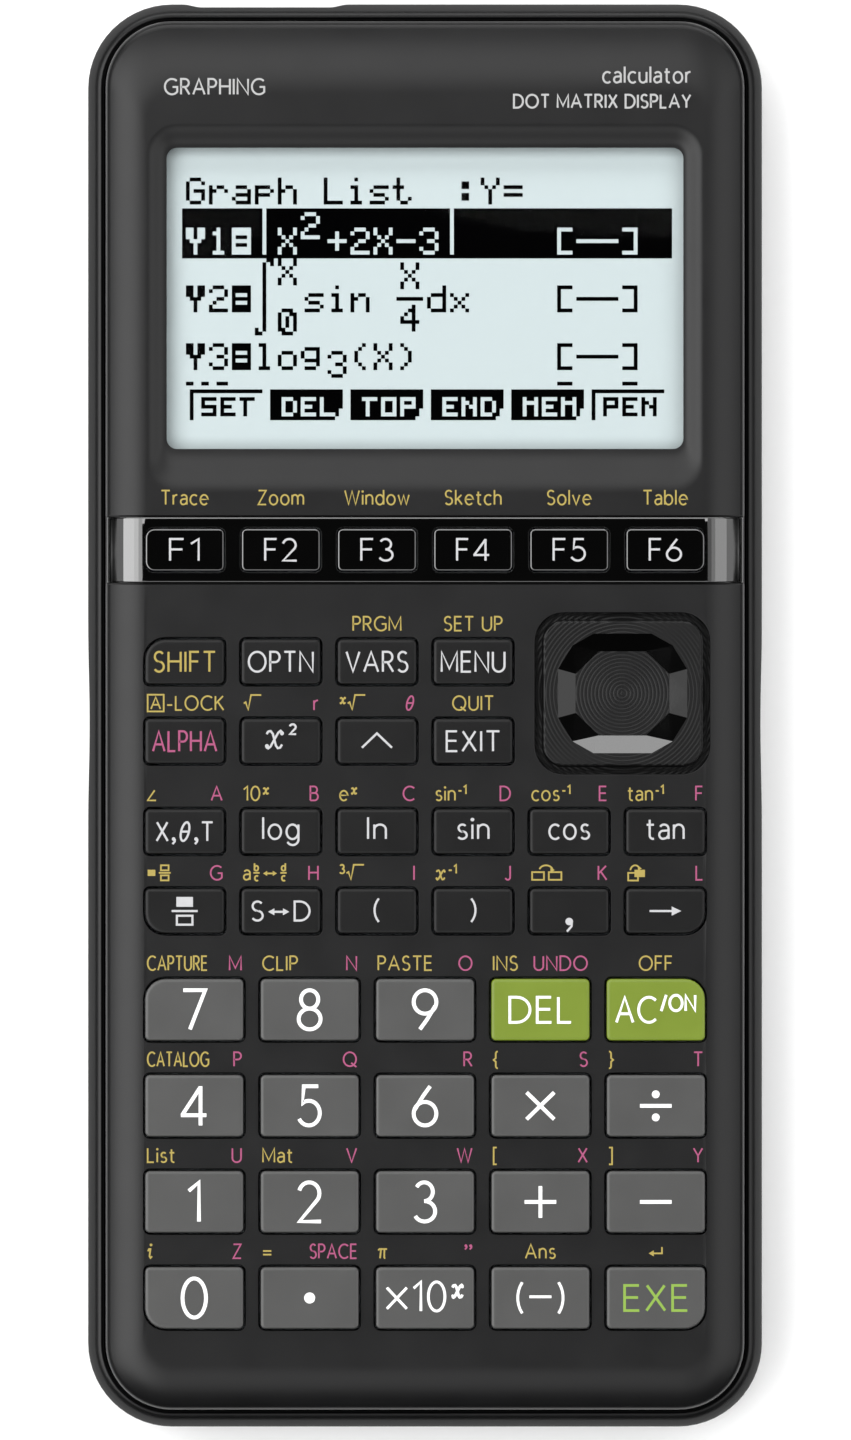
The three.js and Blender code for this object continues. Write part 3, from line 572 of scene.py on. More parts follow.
# Each glyph: its width and its strokes.
GLYPHS = {
    "A": (0.74, [line(0, 0, 0.37, 1, 0.74, 0), line(0.13, 0.34, 0.61, 0.34)]),
    "B": (0.54, [line(0, 0, 0, 1, 0.28, 1) + arc(0.28, 0.765, 0.2, 0.235, 90, -90) + line(0, 0.53),
                 line(0.28, 0.53) + arc(0.3, 0.265, 0.24, 0.265, 90, -90) + line(0, 0)]),
    "C": (0.76, [arc(0.46, 0.5, 0.46, 0.5, 48, 312)]),
    "D": (0.7, [line(0, 0, 0, 1, 0.24, 1) + arc(0.24, 0.5, 0.46, 0.5, 90, -90) + line(0, 0)]),
    "E": (0.48, [line(0.48, 1, 0, 1, 0, 0, 0.49, 0), line(0, 0.52, 0.45, 0.52)]),
    "F": (0.46, [line(0.46, 1, 0, 1, 0, 0), line(0, 0.52, 0.42, 0.52)]),
    "G": (0.8, [arc(0.46, 0.5, 0.46, 0.5, 48, 318) + line(0.8, 0.48, 0.5, 0.48)]),
    "H": (0.64, [line(0, 0, 0, 1), line(0.64, 0, 0.64, 1), line(0, 0.52, 0.64, 0.52)]),
    "I": (0.0, [line(0, 0, 0, 1)]),
    "J": (0.34, [line(0.34, 1, 0.34, 0.2) + arc(0.17, 0.2, 0.17, 0.2, 0, -160)]),
    "K": (0.56, [line(0, 0, 0, 1), line(0.54, 1, 0, 0.44), line(0.16, 0.6, 0.58, 0)]),
    "L": (0.44, [line(0, 1, 0, 0, 0.44, 0)]),
    "M": (0.82, [line(0, 0, 0, 1, 0.41, 0.14, 0.82, 1, 0.82, 0)]),
    "N": (0.68, [line(0, 0, 0, 1, 0.68, 0, 0.68, 1)]),
    "O": (0.9, [ROUND]),
    "P": (0.5, [line(0, 0, 0, 1, 0.25, 1) + arc(0.25, 0.74, 0.25, 0.26, 90, -90) + line(0, 0.48)]),
    "Q": (0.92, [ROUND, line(0.55, 0.24, 0.92, -0.06)]),
    "R": (0.54, [line(0, 0, 0, 1, 0.25, 1) + arc(0.25, 0.74, 0.25, 0.26, 90, -90) + line(0, 0.48),
                 line(0.24, 0.48, 0.54, 0)]),
    "S": (0.5, [arc(0.26, 0.755, 0.23, 0.245, 35, 270) + arc(0.25, 0.255, 0.25, 0.255, 90, -150)]),
    "T": (0.6, [line(0, 1, 0.6, 1), line(0.3, 1, 0.3, 0)]),
    "U": (0.62, [line(0, 1, 0, 0.3) + arc(0.31, 0.3, 0.31, 0.3, 180, 360) + line(0.62, 1)]),
    "V": (0.68, [line(0, 1, 0.34, 0, 0.68, 1)]),
    "W": (1.02, [line(0, 1, 0.26, 0, 0.51, 0.97, 0.76, 0, 1.02, 1)]),
    "X": (0.62, [line(0, 0, 0.6, 1), line(0.02, 1, 0.62, 0)]),
    "Y": (0.62, [line(0, 1, 0.31, 0.46, 0.62, 1), line(0.31, 0.46, 0.31, 0)]),
    "Z": (0.56, [line(0.02, 1, 0.55, 1, 0, 0, 0.56, 0)]),
    "0": (0.6, [arc(0.3, 0.5, 0.3, 0.5, 0, 360)]),
    "1": (0.28, [line(0, 0.78, 0.26, 1, 0.26, 0)]),
    "2": (0.56, TWO),
    "small 2": (0.24, [[(x * 0.43, y * 0.38 + 0.56) for x, y in p] for p in TWO]),
    "3": (0.52, [arc(0.24, 0.76, 0.22, 0.24, 150, -90), arc(0.25, 0.26, 0.27, 0.26, 92, -152)]),
    "4": (0.62, [line(0.47, 0, 0.47, 1), line(0.47, 0.98, 0, 0.26), line(-0.03, 0.26, 0.62, 0.26)]),
    "5": (0.52, [line(0.48, 1, 0.11, 1, 0.08, 0.56) + arc(0.24, 0.315, 0.28, 0.315, 118, -152)]),
    "6": (0.58, [arc(0.29, 0.3, 0.29, 0.3, 0, 360), line(0.42, 1, 0.24, 0.75, 0.1, 0.52, 0.03, 0.4)]),
    "7": (0.56, [line(0, 1, 0.56, 1, 0.17, 0)]),
    "8": (0.56, [arc(0.28, 0.765, 0.22, 0.235, 0, 360), arc(0.28, 0.265, 0.28, 0.265, 0, 360)]),
    "9": (0.58, [arc(0.29, 0.7, 0.29, 0.3, 0, 360), line(0.16, 0, 0.34, 0.25, 0.48, 0.48, 0.55, 0.6)]),
    "a": (0.44, [arc(0.23, 0.48, 0.21, 0.21, 150, 0) + line(0.44, 0),
                 line(0.44, 0.41, 0.2, 0.39) + arc(0.19, 0.195, 0.19, 0.195, 90, 270) +
                 line(0.33, 0.04, 0.44, 0.16)]),
    "b": (0.54, [line(0, 0, 0, 1.04), BOWL]),
    "c": (0.46, [arc(0.28, 0.34, 0.28, 0.35, 48, 312)]),
    "d": (0.54, [line(0.54, 0, 0.54, 1.04), BOWL]),
    "e": (0.56, [line(0.02, 0.37, 0.55, 0.37) + arc(0.28, 0.34, 0.27, 0.35, 5, 318)]),
    "g": (0.54, [BOWL, line(0.54, 0.69, 0.54, -0.04) + arc(0.28, -0.04, 0.26, 0.26, 0, -155)]),
    "h": (0.46, [line(0, 0, 0, 1.04), line(0, 0.44) + arc(0.23, 0.44, 0.23, 0.25, 180, 0) + line(0.46, 0)]),
    "i": (0.0, [line(0, 0, 0, 0.69), dot(0, 0.93, 0.085)]),
    "slanted i": (0.36, [line(0.02, 0.5, 0.1, 0.66, 0.2, 0.66, 0.13, 0.14, 0.2, 0.02, 0.32, 0.14),
                         dot(0.24, 0.96, 0.1)]),
    "k": (0.44, [line(0, 0, 0, 1.04), line(0.41, 0.69, 0, 0.28), line(0.14, 0.42, 0.45, 0)]),
    "l": (0.0, [line(0, 0, 0, 1.04)]),
    "n": (0.46, [line(0, 0, 0, 0.69), line(0, 0.44) + arc(0.23, 0.44, 0.23, 0.25, 180, 0) + line(0.46, 0)]),
    "m": (0.8, [line(0, 0, 0, 0.69), line(0, 0.46) + arc(0.2, 0.46, 0.2, 0.23, 180, 0) + line(0.4, 0),
                line(0.4, 0.46) + arc(0.6, 0.46, 0.2, 0.23, 180, 0) + line(0.8, 0)]),
    "o": (0.56, [arc(0.28, 0.34, 0.28, 0.35, 0, 360)]),
    "r": (0.28, [line(0, 0, 0, 0.69), line(0, 0.4) + arc(0.25, 0.41, 0.25, 0.28, 180, 82)]),
    "s": (0.4, [arc(0.21, 0.52, 0.17, 0.17, 38, 270) + arc(0.2, 0.18, 0.2, 0.18, 90, -148)]),
    "t": (0.32, [line(0.12, 0.92, 0.12, 0.17) + arc(0.28, 0.17, 0.16, 0.17, 180, 285),
                 line(-0.02, 0.68, 0.32, 0.68)]),
    "u": (0.46, [line(0, 0.69, 0, 0.25) + arc(0.23, 0.25, 0.23, 0.25, 180, 360), line(0.46, 0.69, 0.46, 0)]),
    "v": (0.5, [line(0, 0.69, 0.25, 0, 0.5, 0.69)]),
    "w": (0.76, [line(0, 0.69, 0.19, 0, 0.38, 0.67, 0.57, 0, 0.76, 0.69)]),
    "x": (0.66, [line(0.04, 0.56, 0.1, 0.66, 0.19, 0.68, 0.27, 0.58, 0.39, 0.12, 0.46, 0.02, 0.55, 0.04, 0.62, 0.16),
                 line(0.02, 0.05, 0.1, 0.01, 0.18, 0.07, 0.33, 0.35, 0.48, 0.62, 0.57, 0.69, 0.64, 0.62),
                 dot(0.05, 0.1, 0.075), dot(0.62, 0.59, 0.075)]),
    "θ": (0.6, [slanted(arc(0.2, 0.5, 0.22, 0.5, 0, 360)), line(0.09, 0.5, 0.53, 0.5)]),
    "π": (0.62, [line(0, 0.56, 0.08, 0.66, 0.62, 0.66), line(0.2, 0.66, 0.12, 0), line(0.44, 0.66, 0.42, 0.1) +
                 arc(0.5, 0.1, 0.08, 0.1, 180, 270)]),
    "√": (1.25, [line(0, 0.48, 0.14, 0.56, 0.32, 0.02, 0.52, 1.08, 1.25, 1.08)]),
    "∠": (0.62, [line(0.6, 0, 0, 0, 0.5, 0.72)]),
    "∧": (1.0, [line(0, 0, 0.5, 0.52, 1.0, 0)]),
    "(": (0.2, [arc(0.75, 0.4, 0.75, 0.9, 140, 220)]),
    ")": (0.2, [arc(-0.55, 0.4, 0.75, 0.9, 40, -40)]),
    "[": (0.22, [line(0.22, 1.05, 0, 1.05, 0, -0.15, 0.22, -0.15)]),
    "]": (0.22, [line(0, 1.05, 0.22, 1.05, 0.22, -0.15, 0, -0.15)]),
    "{": (0.3, [line(0.3, 1.05) + arc(0.28, 0.88, 0.13, 0.17, 90, 180) + line(0.15, 0.58, 0, 0.45, 0.15, 0.32) +
                arc(0.28, 0.02, 0.13, 0.17, 180, 270) + line(0.3, -0.15)]),
    "}": (0.3, [line(0, 1.05) + arc(0.02, 0.88, 0.13, 0.17, 90, 0) + line(0.15, 0.58, 0.3, 0.45, 0.15, 0.32) +
                arc(0.02, 0.02, 0.13, 0.17, 0, -90) + line(0, -0.15)]),
    "/": (0.36, [line(0, -0.02, 0.36, 1.02)]),
    ",": (0.16, COMMA),
    "”": (0.5, [type(p)((x + dx, y + 0.8) for x, y in p) for dx in (0, 0.34) for p in COMMA]),
    "-": (0.36, [line(0, 0.36, 0.36, 0.36)]),
    "−": (0.85, [line(0, 0.44, 0.85, 0.44)]),
    "+": (0.85, [line(0, 0.44, 0.85, 0.44), line(0.425, 0.015, 0.425, 0.865)]),
    "×": (0.72, [line(0, 0.08, 0.72, 0.8), line(0, 0.8, 0.72, 0.08)]),
    "÷": (0.85, [line(0, 0.44, 0.85, 0.44), dot(0.425, 0.75, 0.105), dot(0.425, 0.13, 0.105)]),
    "=": (0.6, [line(0, 0.52, 0.6, 0.52), line(0, 0.26, 0.6, 0.26)]),
    "·": (0.3, [dot(0.15, 0.15, 0.15)]),
    "→": (1.2, [line(0, 0.44, 0.9, 0.44), head(1.2, 0.44, 0.36)]),
    "↔": (1.0, [line(0.25, 0.46, 0.75, 0.46), head(1.0, 0.46, 0.3), head(0, 0.46, -0.3)]),
    "↵": (1.0, [line(0.95, 0.8, 0.95, 0.35, 0.3, 0.35), head(0, 0.35, -0.36)]),
    "boxed A": (1.15, [line(0, -0.1, 1.15, -0.1, 1.15, 1.1, 0, 1.1, 0, -0.1),
                       line(0.24, 0.08, 0.575, 0.92, 0.91, 0.08), line(0.36, 0.38, 0.79, 0.38)]),
    "box": (0.55, [bar(0, 0.28, 0.55, 0.72)]),
    "open fraction": (0.85, [line(0.15, 0.68, 0.7, 0.68, 0.7, 1.04, 0.15, 1.04, 0.15, 0.68),
                             line(0, 0.5, 0.85, 0.5),
                             line(0.15, -0.04, 0.7, -0.04, 0.7, 0.32, 0.15, 0.32, 0.15, -0.04)]),
    "key fraction": (1.0, [bar(0.18, 0.68, 0.82, 1.1), line(0, 0.5, 1.0, 0.5),
                           line(0.2, -0.08, 0.8, -0.08, 0.8, 0.3, 0.2, 0.3, 0.2, -0.08)]),
    "b over c": (0.44, [line(0, 0.5, 0.44, 0.5)] +
                 [[(0.08 + x * 0.5, y * 0.5 + 0.66) for x, y in p] for p in (BOWL, line(0, 0, 0, 1.04))] +
                 [[(0.1 + x * 0.5, y * 0.5 - 0.06) for x, y in arc(0.28, 0.34, 0.28, 0.35, 48, 312)]]),
    "d over c": (0.44, [line(0, 0.5, 0.44, 0.5)] +
                 [[(0.08 + x * 0.5, y * 0.5 + 0.66) for x, y in p] for p in (BOWL, line(0.54, 0, 0.54, 1.04))] +
                 [[(0.1 + x * 0.5, y * 0.5 - 0.06) for x, y in arc(0.28, 0.34, 0.28, 0.35, 48, 312)]]),
    "copy": (2.1, [line(0, 0, 0.85, 0, 0.85, 0.55, 0, 0.55, 0, 0), line(1.2, 0, 2.1, 0, 2.1, 0.55, 1.2, 0.55, 1.2, 0),
                   arc(1.0, 0.62, 0.5, 0.42, 160, 20), head(1.62, 0.7, 0.3)]),
    "swap": (1.2, [line(0, -0.05, 0.7, -0.05, 0.7, 0.5, 0, 0.5, 0, -0.05), bar(0.45, 0.2, 1.2, 0.72),
                   arc(0.5, 0.62, 0.35, 0.42, 170, 30), head(0.98, 0.82, 0.28)]),
}
RAISED = 0.62  # size of raised lettering
RAISED_BY = 0.46
LETTER_GAP = 0.25
WORD_GAP = 0.42


def typeset(tokens, height, width=None):
    """Strokes in millimetres of a line of lettering from x = 0, and its width.

    ^ raises what follows and | ends that. A given width stretches the line to fit it.
    """
    strokes, x, size, lift = [], 0.0, 1.0, 0.0
    for token in tokens:
        if token in "^|":
            size, lift = (RAISED, RAISED_BY) if token == "^" else (1.0, 0.0)
        elif token == " ":
            x += WORD_GAP
        else:
            advance, parts = GLYPHS[token]
            for part in parts:
                strokes.append(type(part)((x + px * size, lift + py * size) for px, py in part))
            x += (advance + LETTER_GAP) * size
    total = (x - LETTER_GAP * size) * height
    fit = width / total if width else 1.0
    return [type(s)((px * height * fit, py * height) for px, py in s) for s in strokes], total * fit


def ribbon(points, width):
    """The two edges of a stroke, mitred at its corners."""
    points = [p for i, p in enumerate(points) if not i or math.dist(p, points[i - 1]) > 1e-6]
    closed = math.dist(points[0], points[-1]) < 1e-6
    points = [Vector(p) for p in (points[:-1] if closed else points)]
    count = len(points)
    left, right = [], []
    for i, point in enumerate(points):
        before = points[i - 1] if i or closed else None
        after = points[(i + 1) % count] if i + 1 < count or closed else None
        into = (point - before).normalized() if before is not None else (after - point).normalized()
        out = (after - point).normalized() if after is not None else into
        middle = (into + out).normalized()
        side = Vector((-middle.y, middle.x)) * width / 2
        mitre = max(middle.dot(into), 0.6)
        left.append(point + side / mitre)
        right.append(point - side / mitre)
    return left, right, closed


def print_strokes(shape, strokes, stroke, origin, z, ink):
    """Adds inked strokes to a shape, z above the origin's place."""
    for number, points in enumerate(strokes):
        height = z + number * STROKE_LIFT
        first = len(shape.points)
        if isinstance(points, Filled):
            shape.points.extend((origin[0] + x, origin[1] + y, height) for x, y in points)
            shape.face(*range(first, first + len(points)), finish=ink)
            continue
        left, right, closed = ribbon(points, stroke)
        for a, b in zip(left, right):
            shape.points.append((origin[0] + a.x, origin[1] + a.y, height))
            shape.points.append((origin[0] + b.x, origin[1] + b.y, height))
        count = len(left)
        for i in range(count if closed else count - 1):
            j = (i + 1) % count
            shape.face(first + 2 * i + 1, first + 2 * j + 1, first + 2 * j, first + 2 * i, finish=ink)


# ---- Keys ----

FUNCTION_KEYS = ["f1", "f2", "f3", "f4", "f5", "f6"]
SMALL_KEYS = ["shift", "option", "variables", "menu", "alpha", "square", "power", "exit", "unknown", "log", "ln",
              "sin", "cos", "tan", "fraction", "convert", "bracket_open", "bracket_close", "comma", "store"]
LARGE_KEYS = ["7", "8", "9", "delete", "clear", "4", "5", "6", "multiply", "divide", "1", "2", "3", "plus",
              "minus", "0", "point", "exponent", "negate", "execute"]
# Corners with the big radius: 0 top right, 1 top left, 2 bottom left, 3 bottom right.
BIG_CORNERS = {"f1": (1, 2), "f6": (0, 3), "shift": (1,), "fraction": (2,), "store": (3,), "7": (1,),
               "clear": (0,), "0": (2,), "execute": (3,)}
# What is printed on a key: lettering, height and width in millimetres, and ink where it isn't white.
KEY_WORDS = {
    "f1": ("F1", 2.66, 3.6), "f2": ("F2", 2.66, 3.85), "f3": ("F3", 2.66, 3.85), "f4": ("F4", 2.66, 3.95),
    "f5": ("F5", 2.66, 3.85), "f6": ("F6", 2.66, 3.85),
    "shift": ("SHIFT", 2.45, 7.5, "gold_ink"), "option": ("OPTN", 2.45, 7.9), "variables": ("VARS", 2.45, 7.5),
    "menu": ("MENU", 2.45, 7.75), "alpha": ("ALPHA", 2.45, 7.8, "pink_ink"), "square": (["x", "small 2"], 3.2, 3.75),
    "power": ("∧", 3.4, 3.7), "exit": ("EXIT", 2.45, 6.5), "unknown": (["X", ",", "θ", ",", "T"], 2.3, 6.9),
    "log": ("log", 2.55, 4.35), "ln": ("ln", 2.55, 2.2), "sin": ("sin", 2.55, 3.8), "cos": ("cos", 2.55, 4.9),
    "tan": ("tan", 2.55, 4.5), "fraction": (["key fraction"], 2.9, 3.2), "convert": ("S↔D", 2.35, 7.1),
    "bracket_open": ("(", 2.5, 0.6), "bracket_close": (")", 2.5, 0.6), "comma": (",", 4.6, 0.75),
    "store": ("→", 2.6, 3.9),
    "delete": ("DEL", 3.1, 7.55), "clear": ("AC^/ON", 3.1, 9.7), "multiply": ("×", 4.6, 3.4),
    "divide": ("÷", 4.6, 3.9), "plus": ("+", 4.6, 3.9), "minus": ("−", 4.6, 3.9), "point": ("·", 4.5, 1.36),
    "exponent": ("×10^x", 3.6, 9.4), "negate": (["(", "−", ")"], 3.3, 5.6),
    "execute": ("EXE", 3.1, 7.7, "green_ink"),
}
RAISED_WORDS = {"comma": 0.55, "power": 0.9, "fraction": 0.0, "bracket_open": 0.35, "bracket_close": 0.35,
                "negate": 0.15, "exponent": -0.35, "clear": 0.0, "square": 0.2}


def key_sizes(name):
    """A key cap's middle, width, height and corner radii, read from its CAD node."""
    keys = in_mm(bpy.context.scene.calculator.keys)
    box = Box("key_" + name)
    flange = 0.7
    big = keys.function_corner if name in FUNCTION_KEYS else keys.outer_corner
    corners = [big if i in BIG_CORNERS.get(name, ()) else keys.corner for i in range(4)]
    return SimpleNamespace(centre=(box.centre.x, box.centre.y), width=box.size.x - 2 * flange,
                           height=box.size.y - 2 * flange, corners=corners, top=box.high.z)


def grown(size, by, steps=6):
    """A key's outline, grown on every side."""
    corners = [max(r + by, 0.1) for r in size.corners]
    return rounded(size.width + 2 * by, size.height + 2 * by, corners, size.centre, steps)


def add_hole(shape, outline, gap, edge, low, level):
    """A straight hole with a rounded upper edge. outline(by) gives the opening grown by a distance."""
    rings = [at(outline(gap), low)]
    for inset, drop in rounding(edge, 4)[:-1]:
        rings.append(at(outline(gap + inset), level - drop))
    run, drop = rounding(edge, 4)[-2]
    beyond = 1.0
    slope = (edge - run) / drop
    rings.append(at(outline(gap + run + slope * (drop + beyond)), level + beyond))
    shape.rings(rings)


def add_cap(shape, size, low, top, scale):
    """A key cap's skirt, rounded upper edge, sloping rim and top. The scale is that of the edge and the rim."""
    keys = in_mm(bpy.context.scene.calculator.keys)
    edge, rim, fall = keys.edge * scale, keys.rim * scale, keys.rim_drop * scale
    rings = [at(grown(size, 0), low)]
    rings += [at(grown(size, -inset), top - fall - drop) for inset, drop in rounding(edge, 4)]
    rings.append(at(grown(size, -edge - rim), top))
    shape.rings(rings)


def key_lettering(shape, name, size, top):
    """The ink on one key, and the name of the ink."""
    ink = in_mm(bpy.context.scene.calculator.ink)
    if len(name) == 1:
        text, height, width, stroke = name, ink.digit, None, ink.digit_stroke
        tint, rise = "white_ink", 0.0
    else:
        text, height, width, *other = KEY_WORDS[name]
        tint = other[0] if other else "white_ink" if name in LARGE_KEYS else "dim_ink"
        stroke = ink.word_stroke
        if name in LARGE_KEYS:
            stroke = ink.digit_stroke if len(text) == 1 else ink.big_word_stroke
        rise = RAISED_WORDS.get(name, 0.0)
    lower_case = 0.15 * height if str(text).islower() and len(text) > 1 else 0.0
    strokes, span = typeset(text, height, width)
    middle = 0.44 if text in ("×", "÷", "+", "−", "→", ["(", "−", ")"]) else 0.5
    middle = 0.15 if text == "·" else middle
    origin = (size.centre[0] - span / 2, size.centre[1] - middle * height + rise + lower_case)
    print_strokes(shape, strokes, stroke, origin, top + INK_LIFT, 1)
    return tint


def build_key(name, plastic):
    size = key_sizes(name)
    shape = Shape()
    top = size.top - TOP_SLACK
    skirt = Box("display_window").high.z - 0.4
    glossy = plastic == "gloss_black"
    add_cap(shape, size, skirt, top, bpy.context.scene.calculator.keys.gloss_rim if glossy else 1.0)
    tint = key_lettering(shape, name, size, top)
    thing = new_object("cap_" + name, shape, [finish(plastic), finish(tint)])
    smooth(thing, 40, top)
    slots = {"gloss_black": "function_keys", "small_key_black": "small_keys", "large_key_grey": "large_keys",
             "green_key": "green_keys"}
    finished(thing, "cap_" + name, slots[plastic], "key_" + name)


# ---- Shells ----

def body_outline(side, top=None, bottom=None, steps=14):
    """The body's outline brought in by one distance on the sides and others at its two ends."""
    top, bottom = side if top is None else top, side if bottom is None else bottom
    body_corner = 10.4
    box = Box("rear_case")
    corner = max(body_corner - side, 1.5)
    return rounded(box.size.x - 2 * side, box.size.y - top - bottom, corner,
                   (box.centre.x, box.centre.y + (bottom - top) / 2), steps)


def front_edge():
    """Rear outline to front outline."""
    return (Box("rear_case").size.x - Box("front_case").size.x) / 2


GROOVE_PITCH = 0.46
WORLD_STRENGTH = 0.012
EDGE_SHARE = 0.06  # part of the shoulder's width that is its turned-down edge
SHOULDER = [0.0, 0.02, 0.04, EDGE_SHARE] + [EDGE_SHARE + (1 - EDGE_SHARE) * i / 14 for i in range(1, 15)]


def crown_fall(part):
    """How far the shoulder lies below the level face, at a part of its width in from the edge."""
    case = in_mm(bpy.context.scene.calculator.case)
    edge = max(1 - part / EDGE_SHARE, 0.0)
    return case.crown_drop * (1 - part) ** 2 + case.crown_edge * (0.4 * edge + 0.6 * edge ** 3)


def crown_rings(inset, side, top, bottom, height):
    """Rings of a rounded shoulder, from its foot to the level face."""
    return [at(body_outline(inset + side * part, inset + top * part, inset + bottom * part),
               height - crown_fall(part)) for part in SHOULDER]


def crown_height(x):
    """Height of the front shell's face across the body."""
    box = Box("front_case")
    part = (box.size.x / 2 - abs(x)) / in_mm(bpy.context.scene.calculator.case).crown_side
    return box.high.z - crown_fall(min(max(part, 0.0), 1.0))


def add_window_cutter(shape, low, level):
    """The window opening and the soft slope that sinks towards it."""
    case = in_mm(bpy.context.scene.calculator.case)
    lens = Box("display_window")
    overlap, corner, steps = 1.6, 1.3, 12
    width, height = lens.size.x - 2 * overlap, lens.size.y - 2 * overlap

    def outline(part):
        return rounded(width + 2 * case.bezel_side * part,
                       height + (case.bezel_top + case.bezel_bottom) * part,
                       corner + case.bezel_side * part,
                       (lens.centre.x, lens.centre.y + (case.bezel_top - case.bezel_bottom) / 2 * part), 8)

    rings = [at(outline(0), low)]
    for step in range(steps):
        part = step / steps
        rings.append(at(outline(part), level - case.bezel_depth * (1 + math.cos(math.pi * part)) / 2))
    last = case.bezel_depth * (1 + math.cos(math.pi * (steps - 1) / steps)) / 2
    rings.append(at(outline(1 + 1 / steps), level + last))
    rings.append(at(outline(1 + 1 / steps), level + 2))
    shape.rings(rings)


def strip_stations():
    """Places across the front shell, close together on its shoulders."""
    case = in_mm(bpy.context.scene.calculator.case)
    half = Box("front_case").size.x / 2
    places = [half - case.crown_side * part for part in SHOULDER]
    return [-x for x in places] + places[::-1]


def add_channel(shape, edge, depth):
    """The channel that the glossy strip lies in."""
    box = Box("function_key_strip")
    gap, above = 0.1, 3.0
    low, high = box.low.y - gap, box.high.y + gap
    rings = []
    for x in strip_stations():
        reach = x * 1.002
        z = crown_height(x)
        section = [(low, z - depth), (high, z - depth), (high, z - edge), (high + edge, z + 0.001),
                   (high + edge, z + above), (low - edge, z + above), (low - edge, z + 0.001), (low, z - edge)]
        rings.append([(reach, y, h) for y, h in section])
    first, last = rings[0], rings[-1]
    beyond = 1.0
    rings.insert(0, [(x - beyond, y, z - (beyond if i < 2 else 0)) for i, (x, y, z) in enumerate(first)])
    rings.append([(x + beyond, y, z - (beyond if i < 2 else 0)) for i, (x, y, z) in enumerate(last)])
    shape.rings(rings)


def pad_outline(by, steps=8):
    """The cursor pad's outline, grown on every side."""
    keys = in_mm(bpy.context.scene.calculator.keys)
    flange = keys.pad_gap + 0.6
    box = Box("cursor_pad")
    return rounded(box.size.x + 2 * (by - flange), box.size.y + 2 * (by - flange),
                   max(keys.pad_corner + by, 0.2), (box.centre.x, box.centre.y), steps)


class CALCULATOR_OT_front_shell(bpy.types.Operator):
    """Moulds the crowned front shell with its window, key holes, pad well and strip channel"""
    bl_idname = "calculator.front_shell"
    bl_label = "Front Shell"

    def execute(self, context):
        settings = context.scene.calculator
        case, keys = in_mm(settings.case), in_mm(settings.keys)
        inset, wall, level = front_edge(), case.front_wall, Box("front_case").high.z
        low = level - wall
        inner = crown_rings(inset + wall, case.crown_side - wall, case.crown_top - wall,
                            case.crown_bottom - wall, low)[::-1]
        outer = crown_rings(inset, case.crown_side, case.crown_top, case.crown_bottom, level)
        rim = [at(body_outline(inset + wall), case.front_skirt), at(body_outline(inset), case.front_skirt)]
        shape = Shape().rings(inner + rim + outer)
        thing = new_object("front_shell", shape, [finish("case_black")])
        cutter = Shape()
        add_window_cutter(cutter, low - 1, level)
        for name in SMALL_KEYS + LARGE_KEYS:
            size = key_sizes(name)
            add_hole(cutter, lambda by, s=size: grown(s, by), keys.gap, case.hole_edge, low - 1, level)
        add_hole(cutter, pad_outline, keys.pad_gap, case.hole_edge, low - 1, level)
        boolean(thing, cutter)
        channel = Shape()
        add_channel(channel, 0.12, 1.0)
        boolean(thing, channel)
        holes = Shape()
        for name in FUNCTION_KEYS:
            outline = grown(key_sizes(name), keys.gap)
            holes.rings([at(outline, low - 1), at(outline, level + 1)])
        boolean(thing, holes)
        smooth(thing, 32, level)
        finished(thing, "chassis", "case", "front_case")
        return {"FINISHED"}


COVER_TAB_SPACING = 30.0
SCREWS = [(31.0, 79.5), (-31.0, 79.5), (33.5, 27.8), (-33.5, 27.8), (31.0, -80.4), (-31.0, -80.4)]
SCREW_HEAD = 2.1
SCREW_DEPTH = 3.0
RECESS_TOP = 1.7  # ceiling of the battery cover's recess


def add_thumb_hollow(shape, side, low, high):
    """A shallow hollow for the thumb in one flank: 1 for the right, -1 for the left."""
    reach, depth, centre_y, steps = 27.0, 0.2, -1.0, 16
    edge = Box("rear_case").high.x
    outline = []
    for i in range(steps + 1):
        along = 2 * i / steps - 1
        outline.append((side * (edge - depth * (math.cos(math.pi * along) + 1) / 2 + 0.0005),
                        centre_y + side * along * reach / 2))
    outline += [(side * (edge + 1), centre_y + side * reach / 2), (side * (edge + 1), centre_y - side * reach / 2)]
    shape.rings([at(outline[::-1], low), at(outline[::-1], high)])


